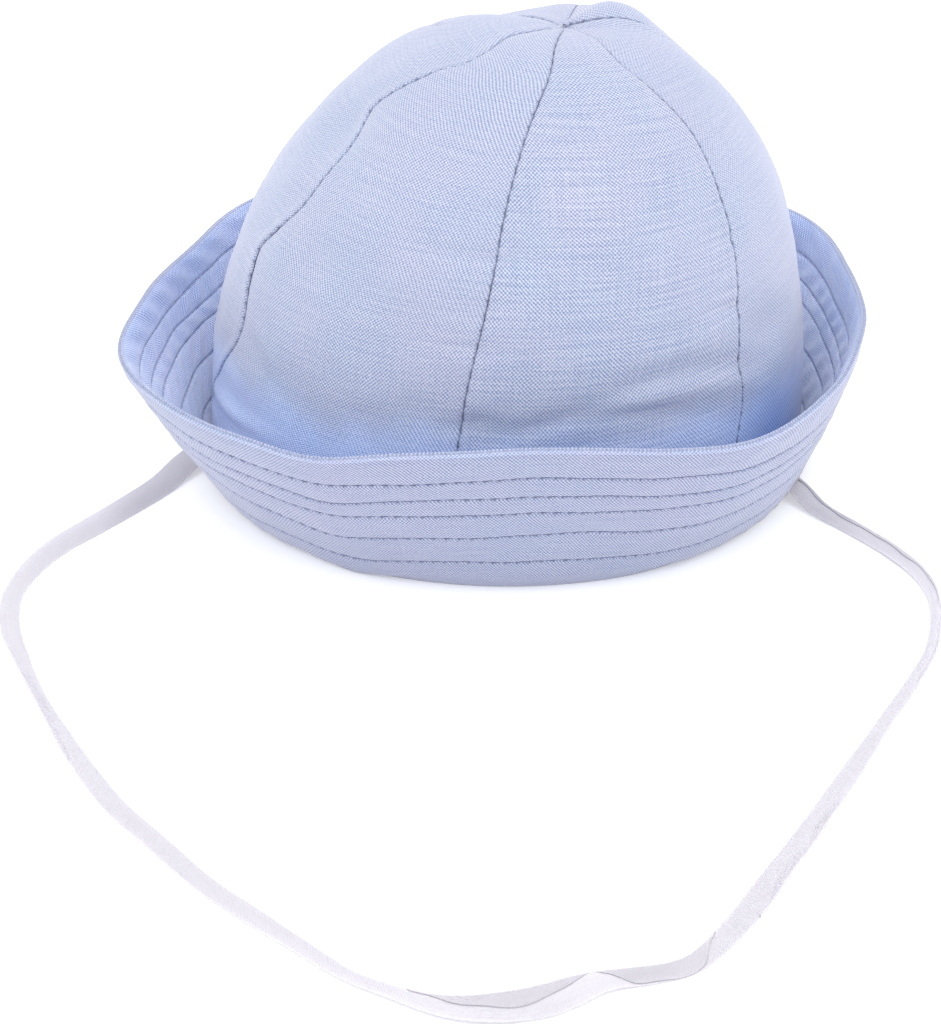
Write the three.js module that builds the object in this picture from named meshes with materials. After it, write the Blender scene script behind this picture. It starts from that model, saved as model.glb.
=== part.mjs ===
// A child's soft sailor cap: six panel crown, quilted brim turned up all round, and a chin tape.
// Millimetres, +Z up. The cap stands on the fold of its brim, its front towards -Y.
// Azimuths are in degrees about the upright axis, 0 at the front and growing towards +X.
import * as THREE from 'three';

// Crown sizes: a 48 cm head gives a base about 153 mm across
const crownWidth = 153.4;
const crownDepth = 146.8;
const crownHeight = 118;
const crownWall = 1.2;
const sideRoundness = 2.27;
const topRoundness = 2.26;

// The tip leans off the crown's axis and lies in a shallow dip
const tipShiftX = 13.9;
const tipShiftY = -5.5;
const leanPower = 2.35;
const leftRiseShare = 0.04;
const tipDip = 1.9;
const tipDipReach = 0.17;
const tipShare = 0.995;

// How far a panel swells between its seams, how deep the crown's folds are, and how far the crown
// draws in at its foot
const panelSwell = 1;
const foldDepth = 3;
const footTuck = 1.2;
const footTuckReach = 0.1;

// Brim sizes: the fold at the bottom, the leg under the crown and the turned up wall
const brimWidth = 48;
const brimWall = 2;
const brimBelly = 1;
const rimRounding = 0.7;
const legHeight = 5;
const legWall = 1.4;
const foldGap = 0.4;
const footBevel = 0.7;
const toeInset = 0.4;
const toeOut = 0.55;
const toeRise = 1;

// Clearance that touching pieces keep
const seamGap = 0.3;
const floorGap = 0.25;

// Arches in the fold at the two sides, where the tape passes out under the brim
const archHeight = 4.2;
const archEase = 1.3;
const sideArches = [
  { side: 'left', azimuth: -88, span: 58 },
  { side: 'right', azimuth: 84, span: 60 },
];

// Tape sizes, and the round of its folded edges
const tapeWidth = 7;
const tapeThickness = 1;
const tapeStepCount = 80;

// How finely the walls are cut into facets
const panelColumnCount = 10;
const panelRowCount = 21;
const brimColumnCount = 96;
const brimWallShares = [0.1, 0.33, 0.56, 0.79, 1];
const seamPassCount = 4;
const slopeAngle = 0.5;
const slopeShare = 0.002;

// Seams of the crown: azimuth in degrees at each share of the rise
const seamRises = [
  0, 0.1, 0.17, 0.21, 0.25, 0.3, 0.34, 0.38, 0.43, 0.5,
  0.55, 0.62, 0.68, 0.74, 0.78, 0.83, 0.9, 1,
];
const seams = [
  {
    name: 'left',
    azimuths: [
      -84, -80, -70, -65.5, -65.3, -67.5, -69, -65, -60,
      -57.5, -56.5, -62, -60, -54, -48, -45, -44.5, -47,
    ],
  },
  {
    name: 'front',
    azimuths: [
      -11, -10, -9.2, -8.8, -8.4, -7.8, -7.2, -6.9, -6.7,
      -6.7, -6.75, -6.6, -6.2, -5, -4, -3.7, -4.3, -4.5,
    ],
  },
  {
    name: 'right',
    azimuths: [
      45, 46.5, 48.4, 48.2, 48.4, 48.9, 49.7, 50.2, 50.7,
      50.6, 50.3, 49.2, 46.8, 43, 40.5, 38.5, 38, 42,
    ],
  },
  {
    name: 'back_right',
    azimuths: [
      108, 108.5, 109, 109.3, 109.6, 110, 110.4, 110.8, 111,
      111, 111, 110.4, 109.5, 109, 108.5, 107.5, 106, 105,
    ],
  },
  {
    name: 'back',
    azimuths: [
      168, 168.6, 169.2, 169.6, 170, 170.5, 171, 171, 171,
      171, 171, 170.3, 169.6, 169, 168.6, 168.2, 168, 168,
    ],
  },
  {
    name: 'back_left',
    azimuths: [
      227, 227.6, 228.3, 229, 230, 230.5, 231, 231, 231,
      231, 231, 230.2, 229.4, 229, 229, 229, 230, 230,
    ],
  },
];

// Panels, each from one seam to the next one round
const panels = [
  { name: 'crown_panel_front_left', seam: 0, colour: 0xb4c6ea },
  { name: 'crown_panel_front_right', seam: 1, colour: 0xb4c6ea },
  { name: 'crown_panel_right', seam: 2, colour: 0xb7c8eb },
  { name: 'crown_panel_back_right', seam: 3, colour: 0xb4c6ea },
  { name: 'crown_panel_back_left', seam: 4, colour: 0xb7c8eb },
  { name: 'crown_panel_left', seam: 5, colour: 0xb4c6ea },
];

// Main folds of the crown: where each lies, how far it reaches across in degrees and up in shares
// of the rise, how much it slopes per degree, and its height as a share of the fold depth
const crownFolds = [
  { at: 'tuck above the front', azimuth: 34, rise: 0.21, across: 18, up: 0.035, slope: 0, height: 0.4 },
  { at: 'hollow above the tuck', azimuth: 38, rise: 0.26, across: 18, up: 0.04, slope: 0, height: -0.5 },
  { at: 'hollow below the tuck', azimuth: 22, rise: 0.16, across: 18, up: 0.035, slope: 0, height: -0.6 },
  { at: 'hollow on the front seam', azimuth: -9, rise: 0.437, across: 14, up: 0.05, slope: 0, height: -0.5 },
  { at: 'hollow by the left seam', azimuth: -72, rise: 0.57, across: 13, up: 0.07, slope: 0, height: -1.1 },
  { at: 'crease over the left base', azimuth: -66, rise: 0.1, across: 14, up: 0.045, slope: 0, height: -1 },
  { at: 'hollow on the right side', azimuth: 58, rise: 0.24, across: 10, up: 0.045, slope: 0, height: -0.6 },
  { at: 'hollow on the right back', azimuth: 140, rise: 0.36, across: 22, up: 0.09, slope: 0, height: -0.9 },
  { at: 'hollow on the left back', azimuth: 205, rise: 0.6, across: 20, up: 0.09, slope: 0, height: -0.7 },
  { at: 'flat of the right side', azimuth: 92, rise: 0.62, across: 30, up: 0.13, slope: 0, height: -0.5 },
  { at: 'flat of the back of the top', azimuth: 205, rise: 0.85, across: 34, up: 0.12, slope: 0, height: -0.8 },
  { at: 'right shoulder of the top', azimuth: 122, rise: 0.9, across: 30, up: 0.09, slope: 0, height: 1.3 },
];

// Brim by azimuth: how far it flares and how high it stands, as shares of the brim's width
const brimStations = [
  { azimuth: -155, flare: 0.445, stand: 0.93 },
  { azimuth: -135, flare: 0.475, stand: 0.925 },
  { azimuth: -110, flare: 0.31, stand: 0.925 },
  { azimuth: -90, flare: 0.37, stand: 0.91 },
  { azimuth: -72, flare: 0.53, stand: 0.855 },
  { azimuth: -57, flare: 0.555, stand: 0.85 },
  { azimuth: -38, flare: 0.53, stand: 0.85 },
  { azimuth: 0, flare: 0.405, stand: 0.91 },
  { azimuth: 25, flare: 0.485, stand: 0.89 },
  { azimuth: 38, flare: 0.515, stand: 0.875 },
  { azimuth: 55, flare: 0.445, stand: 0.9 },
  { azimuth: 76, flare: 0.365, stand: 0.94 },
  { azimuth: 100, flare: 0.31, stand: 0.945 },
  { azimuth: 125, flare: 0.475, stand: 0.917 },
  { azimuth: 150, flare: 0.445, stand: 0.92 },
  { azimuth: 180, flare: 0.415, stand: 0.93 },
];

// Route of the tape from its sewn end under the left side of the fold round to the right side: azimuth,
// reach as a share of the base's radius there, and lift as a share of the arch's height
const tapeRoute = [
  { azimuth: -87, reach: 1, lift: 0.6 },
  { azimuth: -85, reach: 1.055, lift: 0.52 },
  { azimuth: -81.2, reach: 1.127, lift: 0.26 },
  { azimuth: -76, reach: 1.211, lift: 0.05 },
  { azimuth: -71.3, reach: 1.327, lift: 0 },
  { azimuth: -66.4, reach: 1.499, lift: 0 },
  { azimuth: -63.1, reach: 1.655, lift: 0 },
  { azimuth: -59.1, reach: 1.802, lift: 0 },
  { azimuth: -54.6, reach: 1.928, lift: 0 },
  { azimuth: -47.5, reach: 2.061, lift: 0 },
  { azimuth: -41, reach: 2.176, lift: 0 },
  { azimuth: -32, reach: 2.401, lift: 0 },
  { azimuth: -26, reach: 2.566, lift: 0 },
  { azimuth: -20.5, reach: 2.719, lift: 0 },
  { azimuth: -15.6, reach: 2.88, lift: 0 },
  { azimuth: -9.8, reach: 3.074, lift: 0 },
  { azimuth: -6.5, reach: 3.19, lift: 0 },
  { azimuth: -2.7, reach: 3.279, lift: 0 },
  { azimuth: 1.2, reach: 3.262, lift: 0 },
  { azimuth: 5, reach: 3.176, lift: 0 },
  { azimuth: 9.2, reach: 3.118, lift: 0 },
  { azimuth: 12.8, reach: 2.933, lift: 0 },
  { azimuth: 16.7, reach: 2.73, lift: 0 },
  { azimuth: 23.2, reach: 2.439, lift: 0 },
  { azimuth: 31.6, reach: 2.167, lift: 0 },
  { azimuth: 38.8, reach: 2.017, lift: 0 },
  { azimuth: 44.1, reach: 1.926, lift: 0 },
  { azimuth: 49.9, reach: 1.799, lift: 0 },
  { azimuth: 54.9, reach: 1.659, lift: 0 },
  { azimuth: 59, reach: 1.484, lift: 0 },
  { azimuth: 62.7, reach: 1.309, lift: 0 },
  { azimuth: 66.5, reach: 1.156, lift: 0.1 },
  { azimuth: 70.9, reach: 1.056, lift: 0.43 },
  { azimuth: 73.8, reach: 0.993, lift: 0.6 },
];

const fullTurnAngle = 360;
const halfTurnAngle = 180;

function angle(degrees) {
  return degrees * Math.PI / halfTurnAngle;
}

// Cubic curve through a table's rows, with the slope at each row taken from its neighbours
function smoothThrough(places, values, at) {
  let low = 0;
  while (low < places.length - 2 && at > places[low + 1]) {
    low += 1;
  }
  const slopeAt = (row) => {
    const before = Math.max(row - 1, 0);
    const after = Math.min(row + 1, places.length - 1);
    return (values[after] - values[before]) / (places[after] - places[before]);
  };
  const step = places[low + 1] - places[low];
  const s = (at - places[low]) / step;
  const s2 = s * s;
  const s3 = s2 * s;
  const start = (2 * s3 - 3 * s2 + 1) * values[low] + (s3 - 2 * s2 + s) * step * slopeAt(low);
  const end = (3 * s2 - 2 * s3) * values[low + 1] + (s3 - s2) * step * slopeAt(low + 1);
  return start + end;
}

// The same curve round the whole turn, with the table repeated once on each side
function smoothRound(stations, column, azimuth) {
  const turns = [-fullTurnAngle, 0, fullTurnAngle];
  const places = turns.flatMap((turn) => stations.map((station) => station.azimuth + turn));
  const values = turns.flatMap(() => stations.map((station) => station[column]));
  return smoothThrough(places, values, azimuth);
}

// Signed difference of two azimuths, within half a turn
function azimuthBetween(azimuth, from) {
  const turned = (azimuth - from + halfTurnAngle) % fullTurnAngle;
  return (turned + fullTurnAngle) % fullTurnAngle - halfTurnAngle;
}

// Azimuth of a seam at a share of the rise; the seams run on past one turn
function seamAzimuth(index, rise) {
  const seam = seams[index % seams.length];
  const turn = index >= seams.length ? fullTurnAngle : 0;
  return smoothThrough(seamRises, seam.azimuths, rise) + turn;
}

// Height of the fold above the surface that the cap stands on
function archLift(azimuth) {
  let lift = 0;
  for (const arch of sideArches) {
    const share = Math.abs(azimuthBetween(azimuth, arch.azimuth)) / arch.span;
    if (share < 1) {
      lift += archHeight * Math.cos(share * Math.PI / 2) ** archEase;
    }
  }
  return lift;
}

// Sum of the crown's folds at a place, in millimetres outwards
function foldHeight(azimuth, rise) {
  let height = 0;
  for (const fold of crownFolds) {
    const across = azimuthBetween(azimuth, fold.azimuth);
    const up = rise - fold.rise - fold.slope * across;
    height += foldDepth * fold.height * Math.exp(-((across / fold.across) ** 2) - (up / fold.up) ** 2);
  }
  return height;
}

// Middle of the crown's cloth: a rounded dome whose rings shift towards the leaning tip
function crownMiddle(azimuth, rise, swell) {
  const turn = angle(azimuth);
  const lift = rise * Math.PI / 2;
  const ring = Math.cos(lift) ** (2 / sideRoundness);
  const height = Math.sin(lift) ** (2 / topRoundness);
  const tuck = footTuck * Math.exp(-((rise / footTuckReach) ** 2));
  const out = swell * panelSwell * Math.sin(Math.PI * rise) ** 0.5 + foldHeight(azimuth, rise) - tuck;
  const upShare = rise * rise;
  const radiusX = crownWidth / 2 * ring + out * (1 - upShare);
  const radiusY = crownDepth / 2 * ring + out * (1 - upShare);
  const shift = height ** leanPower;
  const tilt = 1 - leftRiseShare * ring * Math.sin(turn) * height;
  const dip = tipDip * Math.exp(-((ring / tipDipReach) ** 2));
  return new THREE.Vector3(
    radiusX * Math.sin(turn) + tipShiftX * shift,
    -radiusY * Math.cos(turn) + tipShiftY * shift,
    crownHeight * height * tilt - dip + out * upShare,
  );
}

// Rise at which the crown's cloth starts, where it stands on the brim's leg
function footRise(azimuth) {
  const foot = legHeight + seamGap + archLift(azimuth);
  return Math.asin((foot / crownHeight) ** (topRoundness / 2)) / (Math.PI / 2);
}

// Rise of a panel's row, from the crown's foot to the tip
function rowRise(azimuth, up) {
  const foot = footRise(azimuth);
  return foot + (tipShare - foot) * up;
}

// Azimuth of a seam at a panel's row; two neighbours share it
function seamAtRow(index, up) {
  let azimuth = seamAzimuth(index, up);
  for (let pass = 0; pass < seamPassCount; pass += 1) {
    azimuth = seamAzimuth(index, rowRise(azimuth, up));
  }
  return azimuth;
}

// One face of a panel's wall, half the wall away from the middle of the cloth
function panelPoint(panel, across, up, side) {
  const first = seamAtRow(panel.seam, up);
  const last = seamAtRow(panel.seam + 1, up);
  const left = crownMiddle(first, rowRise(first, up), 0);
  const right = crownMiddle(last, rowRise(last, up), 0);
  const inset = seamGap / 2 / left.distanceTo(right);
  const share = inset + (1 - 2 * inset) * across;
  const azimuth = first + (last - first) * share;
  const rise = rowRise(azimuth, up);
  const swell = 4 * share * (1 - share);
  const middle = crownMiddle(azimuth, rise, swell);
  const round = crownMiddle(azimuth + slopeAngle, rise, swell).sub(middle);
  const fall = crownMiddle(azimuth, rise - slopeShare, swell).sub(middle);
  const outward = fall.cross(round).normalize();
  return middle.addScaledVector(outward, side * crownWall / 2);
}

// Closed wall between two faces, each a grid of points
function wallGeometry(outerFace, innerFace, columns, rows) {
  const positions = [];
  const indices = [];
  const faceSize = (columns + 1) * (rows + 1);
  for (const face of [outerFace, innerFace]) {
    for (let row = 0; row <= rows; row += 1) {
      for (let column = 0; column <= columns; column += 1) {
        const point = face(column / columns, row / rows);
        positions.push(point.x, point.y, point.z);
      }
    }
  }
  const outer = (column, row) => row * (columns + 1) + column;
  const inner = (column, row) => faceSize + outer(column, row);
  const quad = (a, b, c, d) => indices.push(a, b, c, a, c, d);
  for (let row = 0; row < rows; row += 1) {
    for (let column = 0; column < columns; column += 1) {
      quad(outer(column, row), outer(column + 1, row), outer(column + 1, row + 1), outer(column, row + 1));
      quad(inner(column, row), inner(column, row + 1), inner(column + 1, row + 1), inner(column + 1, row));
    }
  }
  for (let row = 0; row < rows; row += 1) {
    quad(outer(0, row), outer(0, row + 1), inner(0, row + 1), inner(0, row));
    quad(outer(columns, row + 1), outer(columns, row), inner(columns, row), inner(columns, row + 1));
  }
  for (let column = 0; column < columns; column += 1) {
    quad(outer(column + 1, 0), outer(column, 0), inner(column, 0), inner(column + 1, 0));
    quad(outer(column, rows), outer(column + 1, rows), inner(column + 1, rows), inner(column, rows));
  }
  const geometry = new THREE.BufferGeometry();
  geometry.setAttribute('position', new THREE.Float32BufferAttribute(positions, 3));
  geometry.setIndex(indices);
  geometry.computeVertexNormals();
  return geometry;
}

function crownPanel(panel) {
  const outerFace = (across, up) => panelPoint(panel, across, up, 1);
  const innerFace = (across, up) => panelPoint(panel, across, up, -1);
  const geometry = wallGeometry(outerFace, innerFace, panelColumnCount, panelRowCount);
  const mesh = new THREE.Mesh(geometry, clothMaterial(panel.colour));
  mesh.name = panel.name;
  return mesh;
}

// Radius of the crown's base, which the brim's leg and fold follow
function baseRadius(azimuth) {
  const turn = angle(azimuth);
  return Math.hypot(crownWidth / 2 * Math.sin(turn), crownDepth / 2 * Math.cos(turn)) - footTuck;
}

// Middle line of the turned up wall, as a radius and a height
function brimMiddle(azimuth, share) {
  const flare = smoothRound(brimStations, 'flare', azimuth) * brimWidth - brimWall / 2;
  const stand = smoothRound(brimStations, 'stand', azimuth) * brimWidth;
  const start = legWall / 2 + foldGap + brimWall / 2;
  const lift = archLift(azimuth);
  const radius = baseRadius(azimuth) + start + (flare - start) * share;
  const height = lift + (stand - lift) * share;
  return new THREE.Vector2(radius + brimBelly * Math.sin(Math.PI * share), height);
}

// Closed section of the brim at an azimuth: leg, foot, outer face, rim and inner face
function brimSection(azimuth) {
  const lift = archLift(azimuth);
  const base = baseRadius(azimuth);
  const foot = brimMiddle(azimuth, 0);
  const section = [
    new THREE.Vector2(base - legWall / 2, lift + legHeight),
    new THREE.Vector2(base - legWall / 2, lift + footBevel),
    new THREE.Vector2(base - legWall / 2 + footBevel, lift),
    new THREE.Vector2(foot.x - toeInset, lift),
    new THREE.Vector2(foot.x + toeOut, lift + toeRise),
  ];
  const faces = brimWallShares.map((share) => {
    const middle = brimMiddle(azimuth, share);
    const along = middle.clone().sub(brimMiddle(azimuth, share - slopeShare)).normalize();
    const outward = new THREE.Vector2(along.y, -along.x);
    return { middle, along, outward };
  });
  for (const face of faces) {
    section.push(face.middle.clone().addScaledVector(face.outward, brimWall / 2));
  }
  const rim = faces[faces.length - 1];
  section.push(rim.middle.clone().addScaledVector(rim.along, rimRounding));
  for (const face of [...faces].reverse()) {
    section.push(face.middle.clone().addScaledVector(face.outward, -brimWall / 2));
  }
  section.push(new THREE.Vector2(base + legWall / 2 + foldGap / 2, lift + brimWall));
  section.push(new THREE.Vector2(base + legWall / 2, lift + legHeight));
  return section;
}

function brimRing() {
  const positions = [];
  const indices = [];
  let count = 0;
  for (let column = 0; column < brimColumnCount; column += 1) {
    const azimuth = fullTurnAngle * column / brimColumnCount - halfTurnAngle;
    const turn = angle(azimuth);
    const section = brimSection(azimuth);
    count = section.length;
    for (const point of section) {
      positions.push(point.x * Math.sin(turn), -point.x * Math.cos(turn), point.y);
    }
  }
  for (let column = 0; column < brimColumnCount; column += 1) {
    const here = column * count;
    const next = (column + 1) % brimColumnCount * count;
    for (let place = 0; place < count; place += 1) {
      const after = (place + 1) % count;
      indices.push(here + place, next + place, next + after);
      indices.push(here + place, next + after, here + after);
    }
  }
  const geometry = new THREE.BufferGeometry();
  geometry.setAttribute('position', new THREE.Float32BufferAttribute(positions, 3));
  geometry.setIndex(indices);
  geometry.computeVertexNormals();
  const mesh = new THREE.Mesh(geometry, clothMaterial(0xbccbec));
  mesh.name = 'brim';
  return mesh;
}

// Flat section of the folded tape, with round edges
function tapeSection() {
  const section = new THREE.Shape();
  const halfThick = tapeThickness / 2;
  const halfWide = tapeWidth / 2;
  section.moveTo(-halfThick, -halfWide + halfThick);
  section.lineTo(-halfThick * 0.6, -halfWide);
  section.lineTo(halfThick * 0.6, -halfWide);
  section.lineTo(halfThick, -halfWide + halfThick);
  section.lineTo(halfThick, halfWide - halfThick);
  section.lineTo(halfThick * 0.6, halfWide);
  section.lineTo(-halfThick * 0.6, halfWide);
  section.lineTo(-halfThick, halfWide - halfThick);
  section.closePath();
  return section;
}

function chinTape() {
  const points = tapeRoute.map((row) => {
    const turn = angle(row.azimuth);
    const radius = row.reach * baseRadius(row.azimuth);
    const height = tapeThickness / 2 + floorGap + row.lift * archHeight;
    return new THREE.Vector3(radius * Math.sin(turn), -radius * Math.cos(turn), height);
  });
  const route = new THREE.CatmullRomCurve3(points, false, 'centripetal');
  const geometry = new THREE.ExtrudeGeometry(tapeSection(), {
    steps: tapeStepCount,
    extrudePath: route,
    bevelEnabled: false,
  });
  const material = new THREE.MeshStandardMaterial({ color: 0xeceaf6, roughness: 0.85, metalness: 0 });
  const mesh = new THREE.Mesh(geometry, material);
  mesh.name = 'chin_tape';
  return mesh;
}

function clothMaterial(colour) {
  return new THREE.MeshStandardMaterial({ color: colour, roughness: 0.9, metalness: 0 });
}

const cap = new THREE.Group();
for (const panel of panels) {
  cap.add(crownPanel(panel));
}
cap.add(brimRing());

// The cap stands with the middle of its outline over the origin, and the tape goes with it
const outline = new THREE.Box3().setFromObject(cap);
const middle = outline.getCenter(new THREE.Vector3());
cap.add(chinTape());
cap.position.set(-middle.x, -middle.y, -outline.min.z);

export default cap;
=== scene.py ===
# %% [markdown]
# # A child's sailor cap
#
# The real thing is a soft sun cap of pale blue chambray. Six curved panels make a dome, a wide quilted brim
# is turned up all round it, and a white cotton tape loops from side to side to go under the chin.
# The cap stands on the fold of its brim, and the tape lies on the floor in front of it.
#
# The CAD model holds the plain walls. Here each wall is made again as a fine grid that numpy works out from
# the same sizes, so that seams, puckers and quilting can be pressed into it. Cloth simulation would also
# make folds, but not these folds in these places, and a formula gives the same cap on every run.

import bpy
import numpy as np
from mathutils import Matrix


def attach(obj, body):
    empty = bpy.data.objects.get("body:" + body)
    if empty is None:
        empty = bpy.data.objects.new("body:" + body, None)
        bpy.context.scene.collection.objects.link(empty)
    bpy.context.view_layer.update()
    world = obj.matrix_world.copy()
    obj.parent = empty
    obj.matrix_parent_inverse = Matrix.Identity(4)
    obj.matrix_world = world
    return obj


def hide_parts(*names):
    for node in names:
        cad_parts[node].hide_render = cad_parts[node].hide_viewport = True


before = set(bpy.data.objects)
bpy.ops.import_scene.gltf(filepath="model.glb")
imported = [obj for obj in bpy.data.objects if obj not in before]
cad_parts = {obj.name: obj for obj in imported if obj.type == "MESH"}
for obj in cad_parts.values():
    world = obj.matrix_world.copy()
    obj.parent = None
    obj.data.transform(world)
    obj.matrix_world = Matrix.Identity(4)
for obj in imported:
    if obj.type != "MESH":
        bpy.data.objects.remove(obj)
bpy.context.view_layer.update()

# %% [markdown]
# ## Sizes
#
# Everything is worked out in millimetres in the cap's own axes, whose upright axis passes through the
# middle of the crown's base. MIDDLE then moves it to where the CAD puts it, and MM turns it to metres.

# %% The cap's sizes, as in the CAD model
MM = 0.001
MIDDLE = np.array([2.589, -0.218, 0.0])

CROWN_WIDTH, CROWN_DEPTH, CROWN_HEIGHT = 153.4, 146.8, 118.0
SIDE_ROUNDNESS, TOP_ROUNDNESS = 2.27, 2.26
TIP_SHIFT_X, TIP_SHIFT_Y, LEAN_POWER = 13.9, -5.5, 2.35
LEFT_RISE_SHARE = 0.04
TIP_DIP, TIP_DIP_REACH = 1.9, 0.17
PANEL_SWELL = 1.0
FOLD_DEPTH = 3.0
FOOT_TUCK, FOOT_TUCK_REACH = 1.2, 0.1
CROWN_WALL = 1.2

BRIM_WIDTH, BRIM_WALL, BRIM_BELLY = 48.0, 2.0, 1.0
LEG_HEIGHT, LEG_WALL, FOLD_GAP = 5.0, 1.4, 0.4
SEAM_GAP = 0.3
ARCH_HEIGHT, ARCH_EASE = 4.2, 1.3
SIDE_ARCHES = [(-88, 58), (84, 60)]

# %% [markdown]
# ## Camera and floor
#
# The photograph looks down on the cap by about 28 degrees from not far off, with a long lens. The camera
# could be placed by eye, but here its place, its turn and its lens were worked out together from marks on
# the cap. It comes first, because the loose tape has to stay in its view. The floor is one plain square.

# %% Camera
camera_data = bpy.data.cameras.new("camera")
camera_data.lens = 96.715
camera_data.sensor_width = 36.0
camera_data.clip_start = 0.01
camera_data.clip_end = 50.0
camera = bpy.data.objects.new("camera", camera_data)
bpy.context.scene.collection.objects.link(camera)
LOOK_DOWN, LOOK_ASIDE = np.radians(27.7104), np.radians(0.7934)
camera.location = (0.002589, -0.649248, 0.32222)
camera.rotation_euler = (np.pi / 2 - LOOK_DOWN, 0, LOOK_ASIDE)
bpy.context.scene.camera = camera
print("camera looks down", np.degrees(LOOK_DOWN), "degrees")


# %% [markdown]
# ## From arrays to a mesh
#
# Modifiers could thicken and bend a plane, but every wall here is a grid of points that a formula gives, so
# one helper puts such arrays in a mesh. It also stores where each point lies on the flat cloth and how far
# it is from a stitched line. The finishes read both, so that weave and thread follow the surface.


# %% A mesh from points and faces
def new_piece(name, points, faces, uv=None, seam=None):
    """Object at the origin whose mesh has these points in millimetres, moved by MIDDLE and put in metres.
    uv holds each point's place on the flat cloth and seam its distance from the nearest stitched line and its
    place along that line, all in millimetres."""
    mesh = bpy.data.meshes.new(name)
    placed = (np.asarray(points, float).reshape(-1, 3) + MIDDLE) * MM
    mesh.from_pydata(placed.tolist(), [], faces if isinstance(faces, list) else faces.tolist())
    mesh.polygons.foreach_set("use_smooth", np.ones(len(mesh.polygons), bool))
    corner = np.empty(len(mesh.loops), np.int32)
    mesh.loops.foreach_get("vertex_index", corner)
    for title, pairs in (("cloth", uv), ("seam", seam)):
        if pairs is not None:
            layer = mesh.uv_layers.new(name=title)
            layer.data.foreach_set("uv", np.asarray(pairs, np.float32).reshape(-1, 2)[corner].ravel())
    mesh.update()
    made = bpy.data.objects.new(name, mesh)
    bpy.context.scene.collection.objects.link(made)
    return made


def grid_faces(rows, columns, first=0, flip=False):
    """Quads of a grid whose points are numbered row by row from first; flip turns the faces round."""
    row, column = np.meshgrid(np.arange(rows - 1), np.arange(columns - 1), indexing="ij")
    a = (row * columns + column + first).ravel()
    quads = np.stack([a, a + 1, a + columns + 1, a + columns], 1)
    return quads[:, ::-1] if flip else quads


# %% Floor
floor_mesh = bpy.data.meshes.new("floor")
FLOOR_HALF = 3.0
floor_mesh.from_pydata(
    [(x * FLOOR_HALF, y * FLOOR_HALF, 0) for x, y in [(-1, -1), (1, -1), (1, 1), (-1, 1)]], [], [(0, 1, 2, 3)]
)
floor = bpy.data.objects.new("floor", floor_mesh)
bpy.context.scene.collection.objects.link(floor)
print("floor", 2 * FLOOR_HALF, "m wide")


# %% [markdown]
# ## Curves through tables
#
# The seams and the brim follow short tables. A cubic through the rows, with each row's slope taken from its
# neighbours, gives the same curve as the CAD model, so both line up.


# %% Smooth curves through a table
def smooth_through(places, values, at):
    """Cubic between the table's rows: the values at both ends of a span and the slopes there, each weighted
    by one of the four usual cubic blends, decide it."""
    places, values = np.asarray(places, float), np.asarray(values, float)
    slopes = np.empty_like(values)
    slopes[1:-1] = (values[2:] - values[:-2]) / (places[2:] - places[:-2])
    slopes[0] = (values[1] - values[0]) / (places[1] - places[0])
    slopes[-1] = (values[-1] - values[-2]) / (places[-1] - places[-2])
    low = np.clip(np.searchsorted(places, at) - 1, 0, len(places) - 2)
    step = places[low + 1] - places[low]
    s = (at - places[low]) / step
    start = (2 * s**3 - 3 * s**2 + 1) * values[low] + (s**3 - 2 * s**2 + s) * step * slopes[low]
    end = (3 * s**2 - 2 * s**3) * values[low + 1] + (s**3 - s**2) * step * slopes[low + 1]
    return start + end


def smooth_round(places, values, azimuth):
    """The same curve round a whole turn: the table is laid out three times, one turn apart."""
    places, values = np.asarray(places, float), np.asarray(values, float)
    turns = np.concatenate([places - 360, places, places + 360])
    return smooth_through(turns, np.tile(values, 3), (np.asarray(azimuth, float) + 180) % 360 - 180)


def azimuth_between(azimuth, centre):
    """Degrees from centre to azimuth by the shorter way round."""
    return (np.asarray(azimuth, float) - centre + 180) % 360 - 180


# %% [markdown]
# ## The crown's shape
#
# Six panels of woven cloth can only curve one way each, but sewn together and worn they round out to a
# dome. A lathed profile would be too even for it, and sculpting couldn't be repeated. So the dome is a
# formula: a rounded rectangle in section whose rings slide towards the leaning tip. The folds are smooth
# bumps at an azimuth and a share of the rise. Azimuths are in degrees from the front, growing to the right
# as the photograph shows it.

# %% Seams
# azimuth of each seam at these shares of the rise
SEAM_RISES = [0, 0.1, 0.17, 0.21, 0.25, 0.3, 0.34, 0.38, 0.43, 0.5, 0.55, 0.62, 0.68, 0.74, 0.78, 0.83, 0.9, 1]
SEAMS = {
    "left": [
        *(-84, -81, -70.6, -66.2, -66.3, -69.2, -70, -65.6, -61),
        *(-59.2, -59.6, -65.5, -61.8, -56, -48.2, -46.2, -52, -45),
    ],
    "front": [
        *(-11, -10, -9.1, -8.7, -8.35, -7.8, -7.3, -7.1, -7),
        *(-7.35, -7.5, -7.5, -7.2, -6.3, -5.5, -5.5, -7.8, -9.5),
    ],
    "right": [
        *(45, 46.6, 48.8, 48.6, 49.1, 49.6, 50.1, 50.6, 51),
        *(50.6, 50.4, 49.3, 46.3, 42, 38.7, 34.8, 35.5, 45),
    ],
    "back_right": [
        *(108, 108.5, 109, 109.3, 109.6, 110, 110.4, 110.8, 111),
        *(111, 111, 110, 108, 105.5, 103.5, 101.5, 101.5, 108),
    ],
    "back": [
        *(168, 168.6, 169.2, 169.6, 170, 170.5, 171, 171, 171),
        *(171, 171, 170.3, 169.6, 169, 168.6, 168.2, 168, 168),
    ],
    "back_left": [
        *(227, 227.6, 228.3, 229, 230, 230.5, 231, 231, 231),
        *(231, 231, 229.6, 227.5, 224.5, 222, 219, 215, 208),
    ],
}
SEAM_NAMES = list(SEAMS)
print(len(SEAMS), "seams with", len(SEAM_RISES), "places each")

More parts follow.
